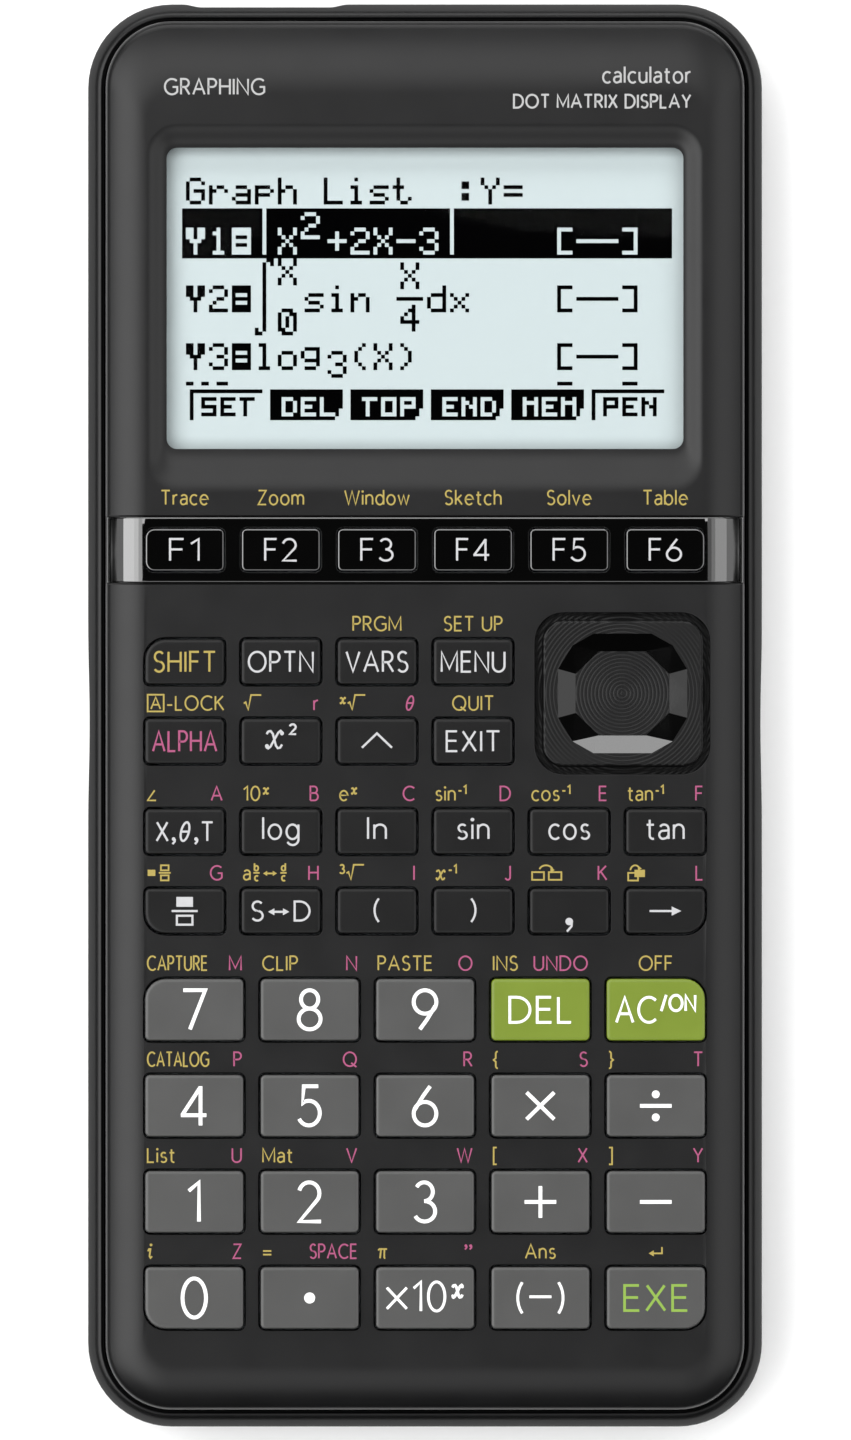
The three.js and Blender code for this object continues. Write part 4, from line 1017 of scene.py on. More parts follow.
class CALCULATOR_OT_rear_shell(bpy.types.Operator):
    """Moulds the rear shell with its battery compartment, sockets and screw wells"""
    bl_idname = "calculator.rear_shell"
    bl_label = "Rear Shell"

    def execute(self, context):
        case = in_mm(context.scene.calculator.case)
        top, groove = case.ridge, case.ridge - 0.3
        profile = [(3.4, 0), (2.85, 0.06), (2.2, 0.34), (1.5, 0.9), (0.95, 1.6), (0.5, 2.4), (0.18, 3.4), (0, 4.6),
                   (0, top - 1.6), (0.04, top - 1.42), (0.14, top - 1.27), (0.5, top - 0.85), (0.82, top - 0.5),
                   (1.05, top - 0.26), (1.25, top - 0.14), (1.42, top - 0.05), (case.ridge_inset, top)]
        hollow = [(1.72, top - 0.03), (1.85, groove), (case.rear_wall, groove - 0.1), (case.rear_wall + 0.2, 4.6),
                  (5.4, case.rear_floor)]
        rings = [at(body_outline(inset), z) for inset, z in profile + hollow]
        thing = new_object("rear_shell", Shape().rings(rings), [finish("case_black")])
        cover, cells = Box("battery_cover"), Box("battery_cells")
        side, end, wall = 0.8, 2.65, 1.2
        room_low = (cells.low.x - side, cells.low.y - end)
        room_high = (cells.high.x + side, cells.high.y + end)
        tub_top = Box("rear_case").high.z
        boolean(thing, Shape().block((cover.low.x - 2, cover.low.y - 2, 1.0), (cover.high.x + 2, 80.7, 3.2)),
                "UNION")
        boolean(thing, Shape().block((room_low[0] - wall, room_low[1] - wall, 1.0),
                                     (room_high[0] + wall, room_high[1] + wall, tub_top)), "UNION")
        cutter = Shape()
        cutter.block((*room_low, RECESS_TOP - 0.5), (*room_high, tub_top - 0.7))
        boolean(thing, cutter)
        slack, hook = 0.2, 2.1
        recess = Shape()
        plate_high = cover.high.y - hook
        outline = rounded(cover.size.x + 2 * slack, plate_high - cover.low.y + 2 * slack, 3.2,
                          (cover.centre.x, (cover.low.y + plate_high) / 2), 6)
        lip = 0.25
        recess.rings([at([(x * 1.02, y) for x, y in outline], -1.0), at(outline, lip), at(outline, RECESS_TOP)])
        boolean(thing, recess)
        slots = Shape()
        for side in (-1, 1):
            x = side * COVER_TAB_SPACING / 2
            slots.block((x - 3, plate_high - 3.3, RECESS_TOP - 0.2), (x + 3, plate_high + 2.6, 5.0))
        boolean(thing, slots)
        wells = Shape()
        for x, y in SCREWS:
            wells.turned([(SCREW_HEAD + 0.4, -0.3), (SCREW_HEAD, 0.3), (SCREW_HEAD, SCREW_DEPTH), (1.2, SCREW_DEPTH),
                          (1.2, 5.0)], (x, y, 0))
        button = Box("restart_button")
        wells.turned([(1.6, -0.4), (1.1, 0.3), (1.1, 3.0)], (button.centre.x, button.centre.y, 0), sides=24)
        boolean(thing, wells)
        scoop = Shape()
        turns = [math.radians(t) for t in range(-90, 91, 10)]
        scoop.turned([(9.0 * max(math.cos(t), 0.001), 2.52 * math.sin(t)) for t in turns], (0, 0, 0), sides=40)
        scoop.points = [(x, y * 0.6 + cover.low.y - 2.0, z - 1.2) for x, y, z in scoop.points]
        boolean(thing, scoop)
        ends = Shape()
        usb, link = Box("usb_socket"), Box("link_socket")
        back = 84.0
        mouth = [(x, 0, z) for x, z in rounded(usb.size.x + 0.6, usb.size.z + 0.6, 1.0, (usb.centre.x, usb.centre.z))]
        ends.rings([[(x, 90, z) for x, _, z in mouth], [(x, back, z) for x, _, z in mouth]])
        ends.turned([(link.size.x / 2 + 0.3, back), (link.size.x / 2 + 0.3, 90)],
                    (link.centre.x, 0, link.centre.z), "Y")
        boolean(thing, ends)
        flanks = Shape()
        add_thumb_hollow(flanks, 1, -1, top + 1)
        add_thumb_hollow(flanks, -1, -1, top + 1)
        width, depth, ease = 20.8, 0.4, 2.5
        middle, end_y = (usb.high.x + link.low.x) / 2 - 0.9, Box("rear_case").high.y
        hollow = [(width / 2, 1), (-width / 2, 1)]
        hollow += [(-width / 2 + ease * t, -depth * (1 - math.cos(math.pi * t)) / 2 + 0.001) for t in
                   (0, 0.17, 0.33, 0.5, 0.67, 0.83, 1)]
        hollow += [(-x, y) for x, y in hollow[:1:-1]]
        flanks.rings([at([(x + middle, y + end_y) for x, y in hollow], -1),
                      at([(x + middle, y + end_y) for x, y in hollow], top + 1)])
        boolean(thing, flanks)
        smooth(thing, 19)
        finished(thing, "chassis", "case", "rear_case")
        return {"FINISHED"}


class CALCULATOR_OT_battery_cover(bpy.types.Operator):
    """Moulds the battery cover with its hook tabs, latch tongue and finger ribs"""
    bl_idname = "calculator.battery_cover"
    bl_label = "Battery Cover"

    def execute(self, context):
        box = Box("battery_cover")
        hook, top = 2.1, 1.6
        high = box.high.y - hook
        centre = (box.centre.x, (box.low.y + high) / 2)
        size = (box.size.x, high - box.low.y)
        rings = [at(rounded(size[0] - 2 * inset, size[1] - 2 * inset, 3.0 - inset, centre, 8), box.low.z + drop)
                 for inset, drop in rounding(0.4, 5)[::-1]]
        rings.append(at(rounded(*size, 3.0, centre, 8), top))
        thing = new_object("battery_door", Shape().rings(rings), [finish("case_black")])
        tabs = Shape()
        for side in (-1, 1):
            x = side * COVER_TAB_SPACING / 2
            tabs.block((x - 2.5, high - 1.7, top - 0.5), (x + 2.5, high - 0.2, 2.9))
        boolean(thing, tabs, "UNION")
        hooks = Shape()
        for side in (-1, 1):
            x = side * COVER_TAB_SPACING / 2
            hooks.block((x - 2.5, high - 1.0, 2.0), (x + 2.5, box.high.y, 2.9))
        boolean(thing, hooks, "UNION")
        slots = Shape()
        for side in (-1, 1):
            slots.block((side * 6 - 0.4, box.low.y - 1, -1), (side * 6 + 0.4, box.low.y + 5, 3))
        for rib in range(5):
            y = box.low.y + 5.2 + rib * 1.6
            outline = rounded(14 - 2 * rib, 0.7, 0.34, (0, y), 4)
            slots.rings([at(outline, -1), at(outline, box.low.z + 0.3)])
        boolean(thing, slots)
        smooth(thing, 32)
        finished(thing, "battery_door", "case", "battery_cover")
        return {"FINISHED"}


# ---- Display ----

# Dot matrix characters, row by row from the top.
DOTS = {
    "G": ".###. #...# #.... #.### #...# #...# .###.", "r": "..... ..... #.##. ##..# #.... #.... #....",
    "a": "..... ..... .###. ....# .#### #...# .####", "p": "..... ..... ####. #...# ####. #.... #....",
    "h": "#.... #.... #.##. ##..# #...# #...# #...#", "L": "#.... #.... #.... #.... #.... #.... #####",
    "i": "..#.. ..... .##.. ..#.. ..#.. ..#.. .###.", "s": "..... ..... .#### #.... .###. ....# ####.",
    "t": ".#... .#... ###.. .#... .#... .#..# ..##.", ":": "..... .##.. .##.. ..... .##.. .##.. .....",
    "Y": "#...# #...# .#.#. ..#.. ..#.. ..#.. ..#..", "=": "..... ..... ##### ..... ##### ..... .....",
    "y": "##.## ##.## ##.## .###. ..#.. ..#.. ..#..", "1": "..#.. .##.. ..#.. ..#.. ..#.. ..#.. .###.",
    "2": ".###. #...# ....# ..##. .#... #.... #####", "3": ".###. #...# ....# ..##. ....# #...# .###.",
    "0": ".###. #..## #.#.# #.#.# #.#.# ##..# .###.", "4": "...#. ..##. .#.#. #..#. ##### ...#. ...#.",
    "X": "#...# #...# .#.#. ..#.. .#.#. #...# #...#", "+": "..... ..#.. ..#.. ##### ..#.. ..#.. .....",
    "-": "..... ..... ..... ##### ..... ..... .....", "(": "...#. ..#.. .#... .#... .#... ..#.. ...#.",
    ")": ".#... ..#.. ...#. ...#. ...#. ..#.. .#...", "c": "..... ..... .###. #...# #.... #...# .###.",
    "o": "..... ..... .###. #...# #...# #...# .###.", "n": "..... ..... #.##. ##..# #...# #...# #...#",
    "d": "....# ....# .#### #...# #...# #...# .####", "x": "..... ..... #...# .#.#. ..#.. .#.#. #...#",
    "l": ".##.. ..#.. ..#.. ..#.. ..#.. ..#.. .###.", "g": "..... .#### #...# #...# .#### ....# .###.",
    "[": "####. #.... #.... #.... #.... #.... ####.", "]": ".#### ....# ....# ....# ....# ....# .####",
}
SMALL_DOTS = {
    "S": "#### #... #### ...# ####", "E": "#### #... ###. #... ####", "T": "#### .#.. .#.. .#.. .#..",
    "D": "###. #..# #..# #..# ###.", "L": "#... #... #... #... ####", "Y": "#.#. #.#. .#.. .#.. .#..",
    "P": "#### #..# #### #... #...", "I": "###. .#.. .#.. .#.. ###.", "N": "#..# ##.# #.## #..# #..#",
    "M": "#..# #### #..# #..# #..#", "O": "#### #..# #..# #..# ####",
}
DISPLAY_DOTS = (128, 64)


def write_dots(dark, text, column, row, font=None, invert=False):
    """Sets the dots of a line of text, or clears them where the ground is dark."""
    font = font or DOTS
    for letter in text:
        if letter != " ":
            rows = font[letter].split()
            for down, pattern in enumerate(rows):
                for along, mark in enumerate(pattern):
                    if mark == "#":
                        place = (column + along, row + down)
                        dark.discard(place) if invert else dark.add(place)
        column += 5 if font is SMALL_DOTS else 6


def display_picture():
    """The dark dots, as (column, row) from the top left."""
    dark = set()

    def fill(column, row, width, height):
        dark.update((c, r) for c in range(column, column + width) for r in range(row, row + height))

    write_dots(dark, "Graph List", 1, 1)
    write_dots(dark, ":Y=", 72, 1)
    fill(0, 9, 128, 13)
    for column in (21, 70):
        dark.difference_update((column, r) for r in range(9, 21))
    write_dots(dark, "y1", 1, 14, invert=True)
    write_dots(dark, "X", 25, 14, invert=True)
    write_dots(dark, "2", 31, 10, invert=True)
    write_dots(dark, "+2X-3", 38, 14, invert=True)
    write_dots(dark, "y2", 1, 29)
    write_dots(dark, "y3", 1, 44)
    for row in (14, 29, 44):
        band = row == 14
        box = {(c, r) for c in range(13, 18) for r in range(row, row + 7)}
        lines = {(c, r) for c in range(14, 17) for r in (row + 2, row + 4)}
        dark.difference_update(box) if band else dark.update(box)
        dark.update(lines) if band else dark.difference_update(lines)
        write_dots(dark, "[", 98, row, invert=band)
        write_dots(dark, "]", 114, row, invert=band)
        dash = {(c, row + 3) for c in range(103, 114)}
        dark.difference_update(dash) if band else dark.update(dash)
    fill(21, 23, 1, 18)
    dark.update([(22, 22), (23, 22), (23, 23), (20, 41), (19, 41), (19, 40)])
    write_dots(dark, "X", 25, 22)
    write_dots(dark, "0", 25, 35)
    write_dots(dark, "sin", 32, 29)
    write_dots(dark, "X", 57, 23)
    fill(56, 32, 7, 1)
    write_dots(dark, "4", 57, 34)
    write_dots(dark, "dx", 64, 29)
    write_dots(dark, "log", 19, 44)
    write_dots(dark, "3", 38, 46)
    write_dots(dark, "(X)", 44, 44)
    for column, width in ((1, 2), (5, 2), (9, 3), (98, 4), (115, 4)):
        fill(column, 54, width, 1)
    for number, word in enumerate(["SET", "DEL", "TOP", "END", "MEM", "PEN"]):
        column = 2 + 21 * number
        plain = number in (0, 5)
        fill(column, 56, 19, 1 if plain else 8)
        if plain:
            fill(column, 56, 1, 8)
        else:
            dark.difference_update([(column + 18, 62), (column + 18, 63), (column + 17, 63), (column + 18, 61)])
        write_dots(dark, word, column + 3, 58, SMALL_DOTS, invert=not plain)
    return dark


class CALCULATOR_OT_display(bpy.types.Operator):
    """Makes the display: its clear lens, its glass and the dots that are lit"""
    bl_idname = "calculator.display"
    bl_label = "Display"

    def execute(self, context):
        lens = Box("display_window")
        size, centre = (lens.size.x, lens.size.y), (lens.centre.x, lens.centre.y)
        rings = [at(rounded(*size, 2.9, centre, 8), lens.low.z)]
        rings += [at(rounded(size[0] - 2 * inset, size[1] - 2 * inset, 2.9 - inset, centre, 8), lens.high.z - drop)
                  for inset, drop in rounding(0.1, 3)]
        pane = new_object("display_lens", Shape().rings(rings), [finish("window_lens")])
        smooth(pane)
        finished(pane, "chassis", "display_window", "display_window")
        panel = Box("lcd_panel")
        middle, ledge, top = panel.centre.z, 0.6, panel.high.z
        shape = Shape()
        lower = rounded(panel.size.x, panel.size.y, 0.4, centre, 3)
        upper = rounded(panel.size.x - 2 * ledge, panel.size.y - 2 * ledge, 0.4, centre, 3)
        shape.rings([at(lower, panel.low.z), at(lower, middle), at(upper, middle), at(upper, top - 0.02)])
        pitch = (0.473, 0.476)
        left = lens.centre.x + 0.25 - DISPLAY_DOTS[0] / 2 * pitch[0]
        high = lens.centre.y + 0.22 + DISPLAY_DOTS[1] / 2 * pitch[1]
        dark = display_picture()
        for row in range(DISPLAY_DOTS[1]):
            column = 0
            while column < DISPLAY_DOTS[0]:
                start = column
                while (column, row) in dark:
                    column += 1
                if column > start:
                    first = len(shape.points)
                    x0, x1 = left + start * pitch[0], left + column * pitch[0]
                    y0, y1 = high - (row + 1) * pitch[1], high - row * pitch[1]
                    shape.points.extend([(x0, y0, top), (x1, y0, top), (x1, y1, top), (x0, y1, top)])
                    shape.face(first, first + 1, first + 2, first + 3, finish=1)
                column += 1
        glass = new_object("display_glass", shape, [finish("display_ground"), finish("display_black")])
        finished(glass, "chassis", "lcd", "lcd_panel")
        return {"FINISHED"}


STRIP_END_SHARE = 0.45  # part of the shoulder's width over which the strip turns down


class CALCULATOR_OT_function_strip(bpy.types.Operator):
    """Makes the glossy strip that wraps over the front shell"""
    bl_idname = "calculator.function_strip"
    bl_label = "Function Strip"

    def execute(self, context):
        keys = in_mm(context.scene.calculator.keys)
        box = Box("function_key_strip")
        proud, depth, edge = 0.15, 0.9, keys.strip_edge
        half, shoulder = Box("front_case").size.x / 2, in_mm(context.scene.calculator.case).crown_side
        rings = []
        for x in strip_stations():
            reach = max(min(x, box.high.x), box.low.x)
            z = crown_height(reach)
            out = max(1 - (half - abs(reach)) / (STRIP_END_SHARE * shoulder), 0.0)
            lift = proud - keys.strip_end * math.sin(out * math.pi / 2)
            upper = [(box.high.y - inset, z + lift - drop) for inset, drop in rounding(edge, 4)]
            lower = [(box.low.y + inset, z + lift - drop) for inset, drop in rounding(edge, 4)[::-1]]
            section = [(box.low.y, z - depth), (box.high.y, z - depth)] + upper + lower
            ring = [(reach, y, h) for y, h in section]
            if not rings or abs(rings[-1][0][0] - reach) > 1e-4:
                rings.append(ring)
        thing = new_object("function_strip", Shape().rings(rings), [finish("gloss_black")])
        holes = Shape()
        level = crown_height(0) + proud
        for name in FUNCTION_KEYS:
            size = key_sizes(name)
            add_hole(holes, lambda by, s=size: grown(s, by), keys.gap, 0.03, level - 3, level)
        boolean(thing, holes)
        smooth(thing, 32, level)
        finished(thing, "chassis", "gloss_strip", "function_key_strip")
        return {"FINISHED"}


class CALCULATOR_OT_function_keys(bpy.types.Operator):
    """Makes the six glossy function keys"""
    bl_idname = "calculator.function_keys"
    bl_label = "Function Keys"

    def execute(self, context):
        for name in FUNCTION_KEYS:
            build_key(name, "gloss_black")
        return {"FINISHED"}


class CALCULATOR_OT_small_keys(bpy.types.Operator):
    """Makes the twenty small black keys"""
    bl_idname = "calculator.small_keys"
    bl_label = "Small Keys"

    def execute(self, context):
        for name in SMALL_KEYS:
            build_key(name, "small_key_black")
        return {"FINISHED"}


class CALCULATOR_OT_large_keys(bpy.types.Operator):
    """Makes the twenty large keys, two of them green"""
    bl_idname = "calculator.large_keys"
    bl_label = "Large Keys"

    def execute(self, context):
        for name in LARGE_KEYS:
            build_key(name, "green_key" if name in ("delete", "clear") else "large_key_grey")
        return {"FINISHED"}


# ---- Cursor pad ----

# One quarter of the dish's rim and of its floor, as shares of the pad's half sizes.
DISH_RIM = [(0.80, 0.33), (0.62, 0.65), (0.36, 0.81)]
DISH_FLOOR = [(0.58, 0.265), (0.29, 0.57)]
TIP_DROP = 0.05  # the four points between the rim's quarters lie lower than the rim


def four_quarters(quarter):
    """A quarter's points repeated in the other three quarters, counterclockwise."""
    points = []
    for i, (side, end) in enumerate([(1, 1), (-1, 1), (-1, -1), (1, -1)]):
        turned = [(side * x, end * y) for x, y in quarter]
        points += turned[::-1] if i % 2 else turned
    return points


def dish_cutter(centre, half, top, depth):
    """The dish as a cutter: a floor with eight sides inside a rim with twelve and four points."""
    shape = Shape()
    above = top + 1.0

    def placed(points, z):
        return [(centre[0] + x * half[0], centre[1] + y * half[1], z) for x, y in points]

    rim, floor = placed(four_quarters(DISH_RIM), top), placed(four_quarters(DISH_FLOOR), top - depth)
    around = []
    for q in range(4):
        around += rim[3 * q:3 * q + 3]
        a, b = rim[3 * q + 2], rim[(3 * q + 3) % 12]
        around.append(((a[0] + b[0]) / 2, (a[1] + b[1]) / 2, top - TIP_DROP))
    shape.points = around + [(x, y, above) for x, y, z in around] + floor
    high, low = 16, 32
    for q in range(4):
        r0, r1, r2, tip, before = 4 * q, 4 * q + 1, 4 * q + 2, 4 * q + 3, (4 * q - 1) % 16
        f0, f1, f2 = low + 2 * q, low + 2 * q + 1, low + (2 * q + 2) % 8
        for corners in ((f0, r0, before), (f0, r1, r0), (f0, f1, r1), (f1, r2, r1), (f1, tip, r2), (f1, f2, tip)):
            shape.face(*corners, finish=1)
    for i in range(16):
        j = (i + 1) % 16
        shape.face(i, j, high + j, high + i)
    shape.face(*range(high, high + 16))
    shape.face(*range(low + 7, low - 1, -1))
    return shape


class CALCULATOR_OT_cursor_pad(bpy.types.Operator):
    """Makes the cursor pad, its faceted dish and the grooved plate in the dish"""
    bl_idname = "calculator.cursor_pad"
    bl_label = "Cursor Pad"

    def execute(self, context):
        keys = in_mm(context.scene.calculator.keys)
        box = Box("cursor_pad")
        centre, top = (box.centre.x, box.centre.y), box.high.z
        half = (box.size.x / 2 - keys.pad_gap - 0.6, box.size.y / 2 - keys.pad_gap - 0.6)
        flange = in_mm(context.scene.calculator.case).front_wall + 0.75
        reach, foot = keys.pad_gap + 0.55, top - flange - 1.0
        rings = [at(pad_outline(reach), foot), at(pad_outline(reach), top - flange), at(pad_outline(0), top - flange)]
        rings += [at(pad_outline(-inset), top - drop) for inset, drop in rounding(keys.pad_edge, 6)]
        thing = new_object("pad", Shape().rings(rings), [finish("pad_black"), finish("pad_gloss")])
        boolean(thing, dish_cutter(centre, half, top, keys.dish_depth))
        smooth(thing, 12, top)
        for polygon in thing.data.polygons:
            polygon.use_smooth = polygon.material_index == 0
        finished(thing, "pad", "cursor_pad", "cursor_pad")
        ridges = Shape()
        level = top - keys.dish_depth + 0.06
        count = int(half[0] * 0.75 / keys.groove_pitch * 2)
        steps = [(0.12 + i * keys.groove_pitch / 2, level - (i % 2) * keys.groove_depth) for i in range(count)]
        profile = [(0.02, level - 0.3), (steps[-1][0], level - 0.3)] + steps[::-1] + [(0.02, level)]
        ridges.turned(profile, (*centre, 0), sides=96)
        plate = new_object("pad_plate", ridges, [finish("pad_black")])
        outline = [(centre[0] + x * half[0] * 0.99, centre[1] + y * half[1] * 0.99)
                   for x, y in four_quarters(DISH_FLOOR)]
        floor = top - keys.dish_depth
        boolean(plate, Shape().rings([at(outline, floor - 0.05), at(outline, level + 1)]), "INTERSECT")
        smooth(plate, 8)
        finished(plate, "pad", "cursor_pad")
        return {"FINISHED"}


# ---- Printing on the case ----

# Over each key: gold on the left, gold in the middle and pink on the right, with a width where it isn't free.
LEGENDS = {
    "f1": (None, "Trace"), "f2": (None, "Zoom"), "f3": (None, "Window"), "f4": (None, "Sketch"),
    "f5": (None, "Solve"), "f6": (None, "Table"), "variables": (None, "PRGM"), "menu": (None, "SET UP"),
    "exit": (None, "QUIT"), "alpha": (["boxed A", *"-LOCK"],), "square": ("√", None, "r"),
    "power": ("^x|√", None, "θ"), "unknown": ("∠", None, "A"), "log": ("10^x", None, "B"),
    "ln": ("e^x", None, "C"), "sin": ("sin^-1", None, "D"), "cos": ("cos^-1", None, "E"),
    "tan": ("tan^-1", None, "F"), "fraction": (["box", "open fraction"], None, "G"),
    "convert": (["a", "b over c", "↔", "d over c"], None, "H"), "bracket_open": ("^3|√", None, "I"),
    "bracket_close": ("x^-1", None, "J"), "comma": (["copy"], None, "K"), "store": (["swap"], None, "L"),
    "7": ("CAPTURE", None, "M"), "8": ("CLIP", None, "N"), "9": ("PASTE", None, "O"),
    "delete": ("INS", None, "UNDO"), "clear": (None, "OFF"), "4": ("CATALOG", None, "P"), "5": (None, None, "Q"),
    "6": (None, None, "R"), "multiply": ("{", None, "S"), "divide": ("}", None, "T"), "1": ("List", None, "U"),
    "2": ("Mat", None, "V"), "3": (None, None, "W"), "plus": ("[", None, "X"), "minus": ("]", None, "Y"),
    "0": (["slanted i"], None, "Z"), "point": ("=", None, "SPACE"), "exponent": ("π", None, "”"),
    "negate": (None, "Ans"), "execute": (None, "↵"),
}
LEGEND_WIDTHS = {"CAPTURE": 7.3, "CATALOG": 7.5, "SPACE": 5.7, "UNDO": 6.5}
CASE_WORD_STROKE = 0.24
FUNCTION_LEGEND_RISE = 3.03


class CALCULATOR_OT_legends(bpy.types.Operator):
    """Prints the gold and pink legends and the words beside the display on the front shell"""
    bl_idname = "calculator.legends"
    bl_label = "Case Lettering"

    def execute(self, context):
        ink = in_mm(context.scene.calculator.ink)
        gold, pink, silver = Shape(), Shape(), Shape()
        level = Box("front_case").high.z + INK_LIFT
        for name, words in LEGENDS.items():
            size = key_sizes(name)
            left, right = size.centre[0] - size.width / 2 + 0.3, size.centre[0] + size.width / 2 - 0.3
            rise = FUNCTION_LEGEND_RISE if name in FUNCTION_KEYS else ink.legend_rise
            foot = size.centre[1] + size.height / 2 + rise
            for side, word in enumerate(words):
                if not word:
                    continue
                text = word if isinstance(word, str) else None
                strokes, span = typeset(word, ink.legend, LEGEND_WIDTHS.get(text))
                start = (left, size.centre[0] - span / 2, right - span)[side]
                print_strokes(pink if side == 2 else gold, strokes, ink.legend_stroke, (start, foot), level, 0)
        window_top = Box("display_window").high.y
        for text, height, x, y, align in (
                ("GRAPHING", 1.9, -32.1, 4.95, 0.0),
                ("calculator", 1.9, 32.75, 6.4, 1.0),
                ("DOT MATRIX DISPLAY", 1.6, 32.75, 3.3, 1.0)):
            strokes, span = typeset(text, height)
            print_strokes(silver, strokes, CASE_WORD_STROKE, (x - align * span, window_top + y), level, 0)
        for name, shape in (("gold_ink", gold), ("pink_ink", pink), ("silver_ink", silver)):
            finished(new_object(name + "_legends", shape, [finish(name)]), "chassis", "case")
        return {"FINISHED"}


# ---- Sockets, screws, battery parts ----

class CALCULATOR_OT_sockets(bpy.types.Operator):
    """Makes the two sockets in the display end"""
    bl_idname = "calculator.sockets"
    bl_label = "Sockets"

    def execute(self, context):
        box = Box("usb_socket")
        centre, back, mouth, wall = (box.centre.x, box.centre.z), box.low.y, box.high.y, 0.3

        def section(by, y, corner=0.7):
            outline = rounded(box.size.x + 2 * by, box.size.z + 2 * by, max(corner + by, 0.1), centre)
            return [(x, y, z) for x, z in outline]

        shape = Shape().rings([section(-wall, back + 0.6), section(-wall, mouth - 0.1), section(-wall / 2, mouth),
                               section(0, mouth - 0.1), section(0, back)])
        half, thick = 2.2, 0.55
        shape.block((centre[0] - half, back + 0.5, centre[1] - thick),
                    (centre[0] + half, back + 5.5, centre[1] + thick), finish=1)
        for contact in range(5):
            x = centre[0] + (contact - 2) * 0.8
            shape.block((x - 0.2, back + 1.0, centre[1] - thick - 0.04), (x + 0.2, back + 5.3, centre[1] - thick),
                        finish=2)
        usb = new_object("data_socket", shape, [finish("nickel"), finish("socket_black"), finish("nickel")])
        smooth(usb)
        finished(usb, "chassis", "socket_metal", "usb_socket")
        box = Box("link_socket")
        outer, bore, edge = box.size.x / 2, 1.3, 0.25
        profile = [(0.05, box.low.y + 1.0), (bore, box.low.y + 1.0), (bore, box.high.y - edge),
                   (bore + edge, box.high.y), (outer - edge, box.high.y), (outer, box.high.y - edge),
                   (outer, box.low.y), (0.05, box.low.y)]
        jack = new_object("link_jack", Shape().turned(profile[::-1], (box.centre.x, 0, box.centre.z), "Y", 40),
                          [finish("socket_black")])
        smooth(jack)
        finished(jack, "chassis", "socket_metal", "link_socket")
        return {"FINISHED"}


class CALCULATOR_OT_screws(bpy.types.Operator):
    """Makes the six case screws and the restart button"""
    bl_idname = "calculator.screws"
    bl_label = "Screws and Restart Button"

    def execute(self, context):
        for number, (x, y) in enumerate(SCREWS):
            head = [(0.05, 1.15), (1.2, 1.15), (1.6, 1.3), (1.85, 1.6), (1.9, 2.0), (1.9, SCREW_DEPTH - 0.02),
                    (1.0, SCREW_DEPTH - 0.02), (1.0, 9.0), (0.05, 9.6)]
            thing = new_object(f"case_screw_{number + 1}", Shape().turned(head, (x, y, 0)), [finish("dark_zinc")])
            for wide, deep in ((1.05, 0.22), (0.22, 1.05)):
                boolean(thing, Shape().block((x - wide, y - deep, 0), (x + wide, y + deep, 2.3)))
            smooth(thing)
            finished(thing, "chassis", "socket_metal")
        box = Box("restart_button")
        profile = [(0.05, box.low.z), (0.7, box.low.z), (0.88, box.low.z + 0.2), (0.9, 2.0), (1.7, 2.0), (1.7, 2.8),
                   (0.9, 2.8), (0.9, box.high.z), (0.05, box.high.z)]
        button = new_object("restart_pin", Shape().turned(profile, (box.centre.x, box.centre.y, 0), sides=24),
                            [finish("grey_silicone")])
        smooth(button)
        finished(button, "restart", "restart_button", "restart_button")
        return {"FINISHED"}


CELLS = 4


class CALCULATOR_OT_battery_parts(bpy.types.Operator):
    """Makes the four cells with their springs and contact plates"""
    bl_idname = "calculator.battery_parts"
    bl_label = "Battery Parts"

    def execute(self, context):
        box = Box("battery_cells")
        radius, nub = box.size.z / 2, 1.0
        pitch = (box.size.x - 2 * radius) / (CELLS - 1)
        low, high = box.low.y + nub, box.high.y - nub
        cells, springs = Shape(), Shape()
        for number in range(CELLS):
            x, z = box.low.x + radius + number * pitch, box.centre.z
            way = -1 if number % 2 else 1
            profile = [(0.05, low + 0.2), (radius - 1.6, low + 0.2), (radius - 1.2, low + 0.05), (radius - 0.5, low),
                       (radius - 0.06, low + 0.4), (radius - 0.06, high - 0.5), (radius - 0.5, high),
                       (2.6, high - 0.1), (1.9, high), (1.9, high + nub - 0.2), (1.6, high + nub), (0.05, high + nub)]
            finishes = [1, 1, 0, 0, 0, 0, 0, 1, 1, 1, 1]
            middle = (low + high) / 2
            placed = [(r, middle + way * (a - middle)) for r, a in profile]
            first = len(cells.faces)
            cells.turned(placed if way > 0 else placed[::-1], (x, 0, z), "Y", 40)
            for face in range(first, len(cells.faces) - 2):
                band = (face - first) // 40
                cells.finishes[face] = (finishes if way > 0 else finishes[::-1])[band]
            cells.finishes[-2:] = [1, 1]
            end = low if way > 0 else high
            turns, steps = 4, 20
            coil = []
            for i in range(turns * steps + 1):
                along, turn = i / (turns * steps), 2 * math.pi * i / steps
                reach = 1.8 + 1.4 * along
                coil.append((x + reach * math.cos(turn), end - way * (0.5 + 1.5 * along),
                             z + reach * math.sin(turn)))
            springs.tube(coil, 0.25)
            for side in (-1, 1):
                y = (low if side < 0 else high) + side * 2.35
                springs.block((x - 4.2, y - 0.12, z - 4.2), (x + 4.2, y + 0.12, z + 4.2))
        thing = new_object("aaa_cells", cells, [finish("cell_sleeve"), finish("nickel")])
        smooth(thing)
        finished(thing, "chassis", "battery_cells", "battery_cells")
        contacts = new_object("battery_contacts", springs, [finish("spring_steel")])
        smooth(contacts)
        finished(contacts, "chassis", "socket_metal")
        return {"FINISHED"}


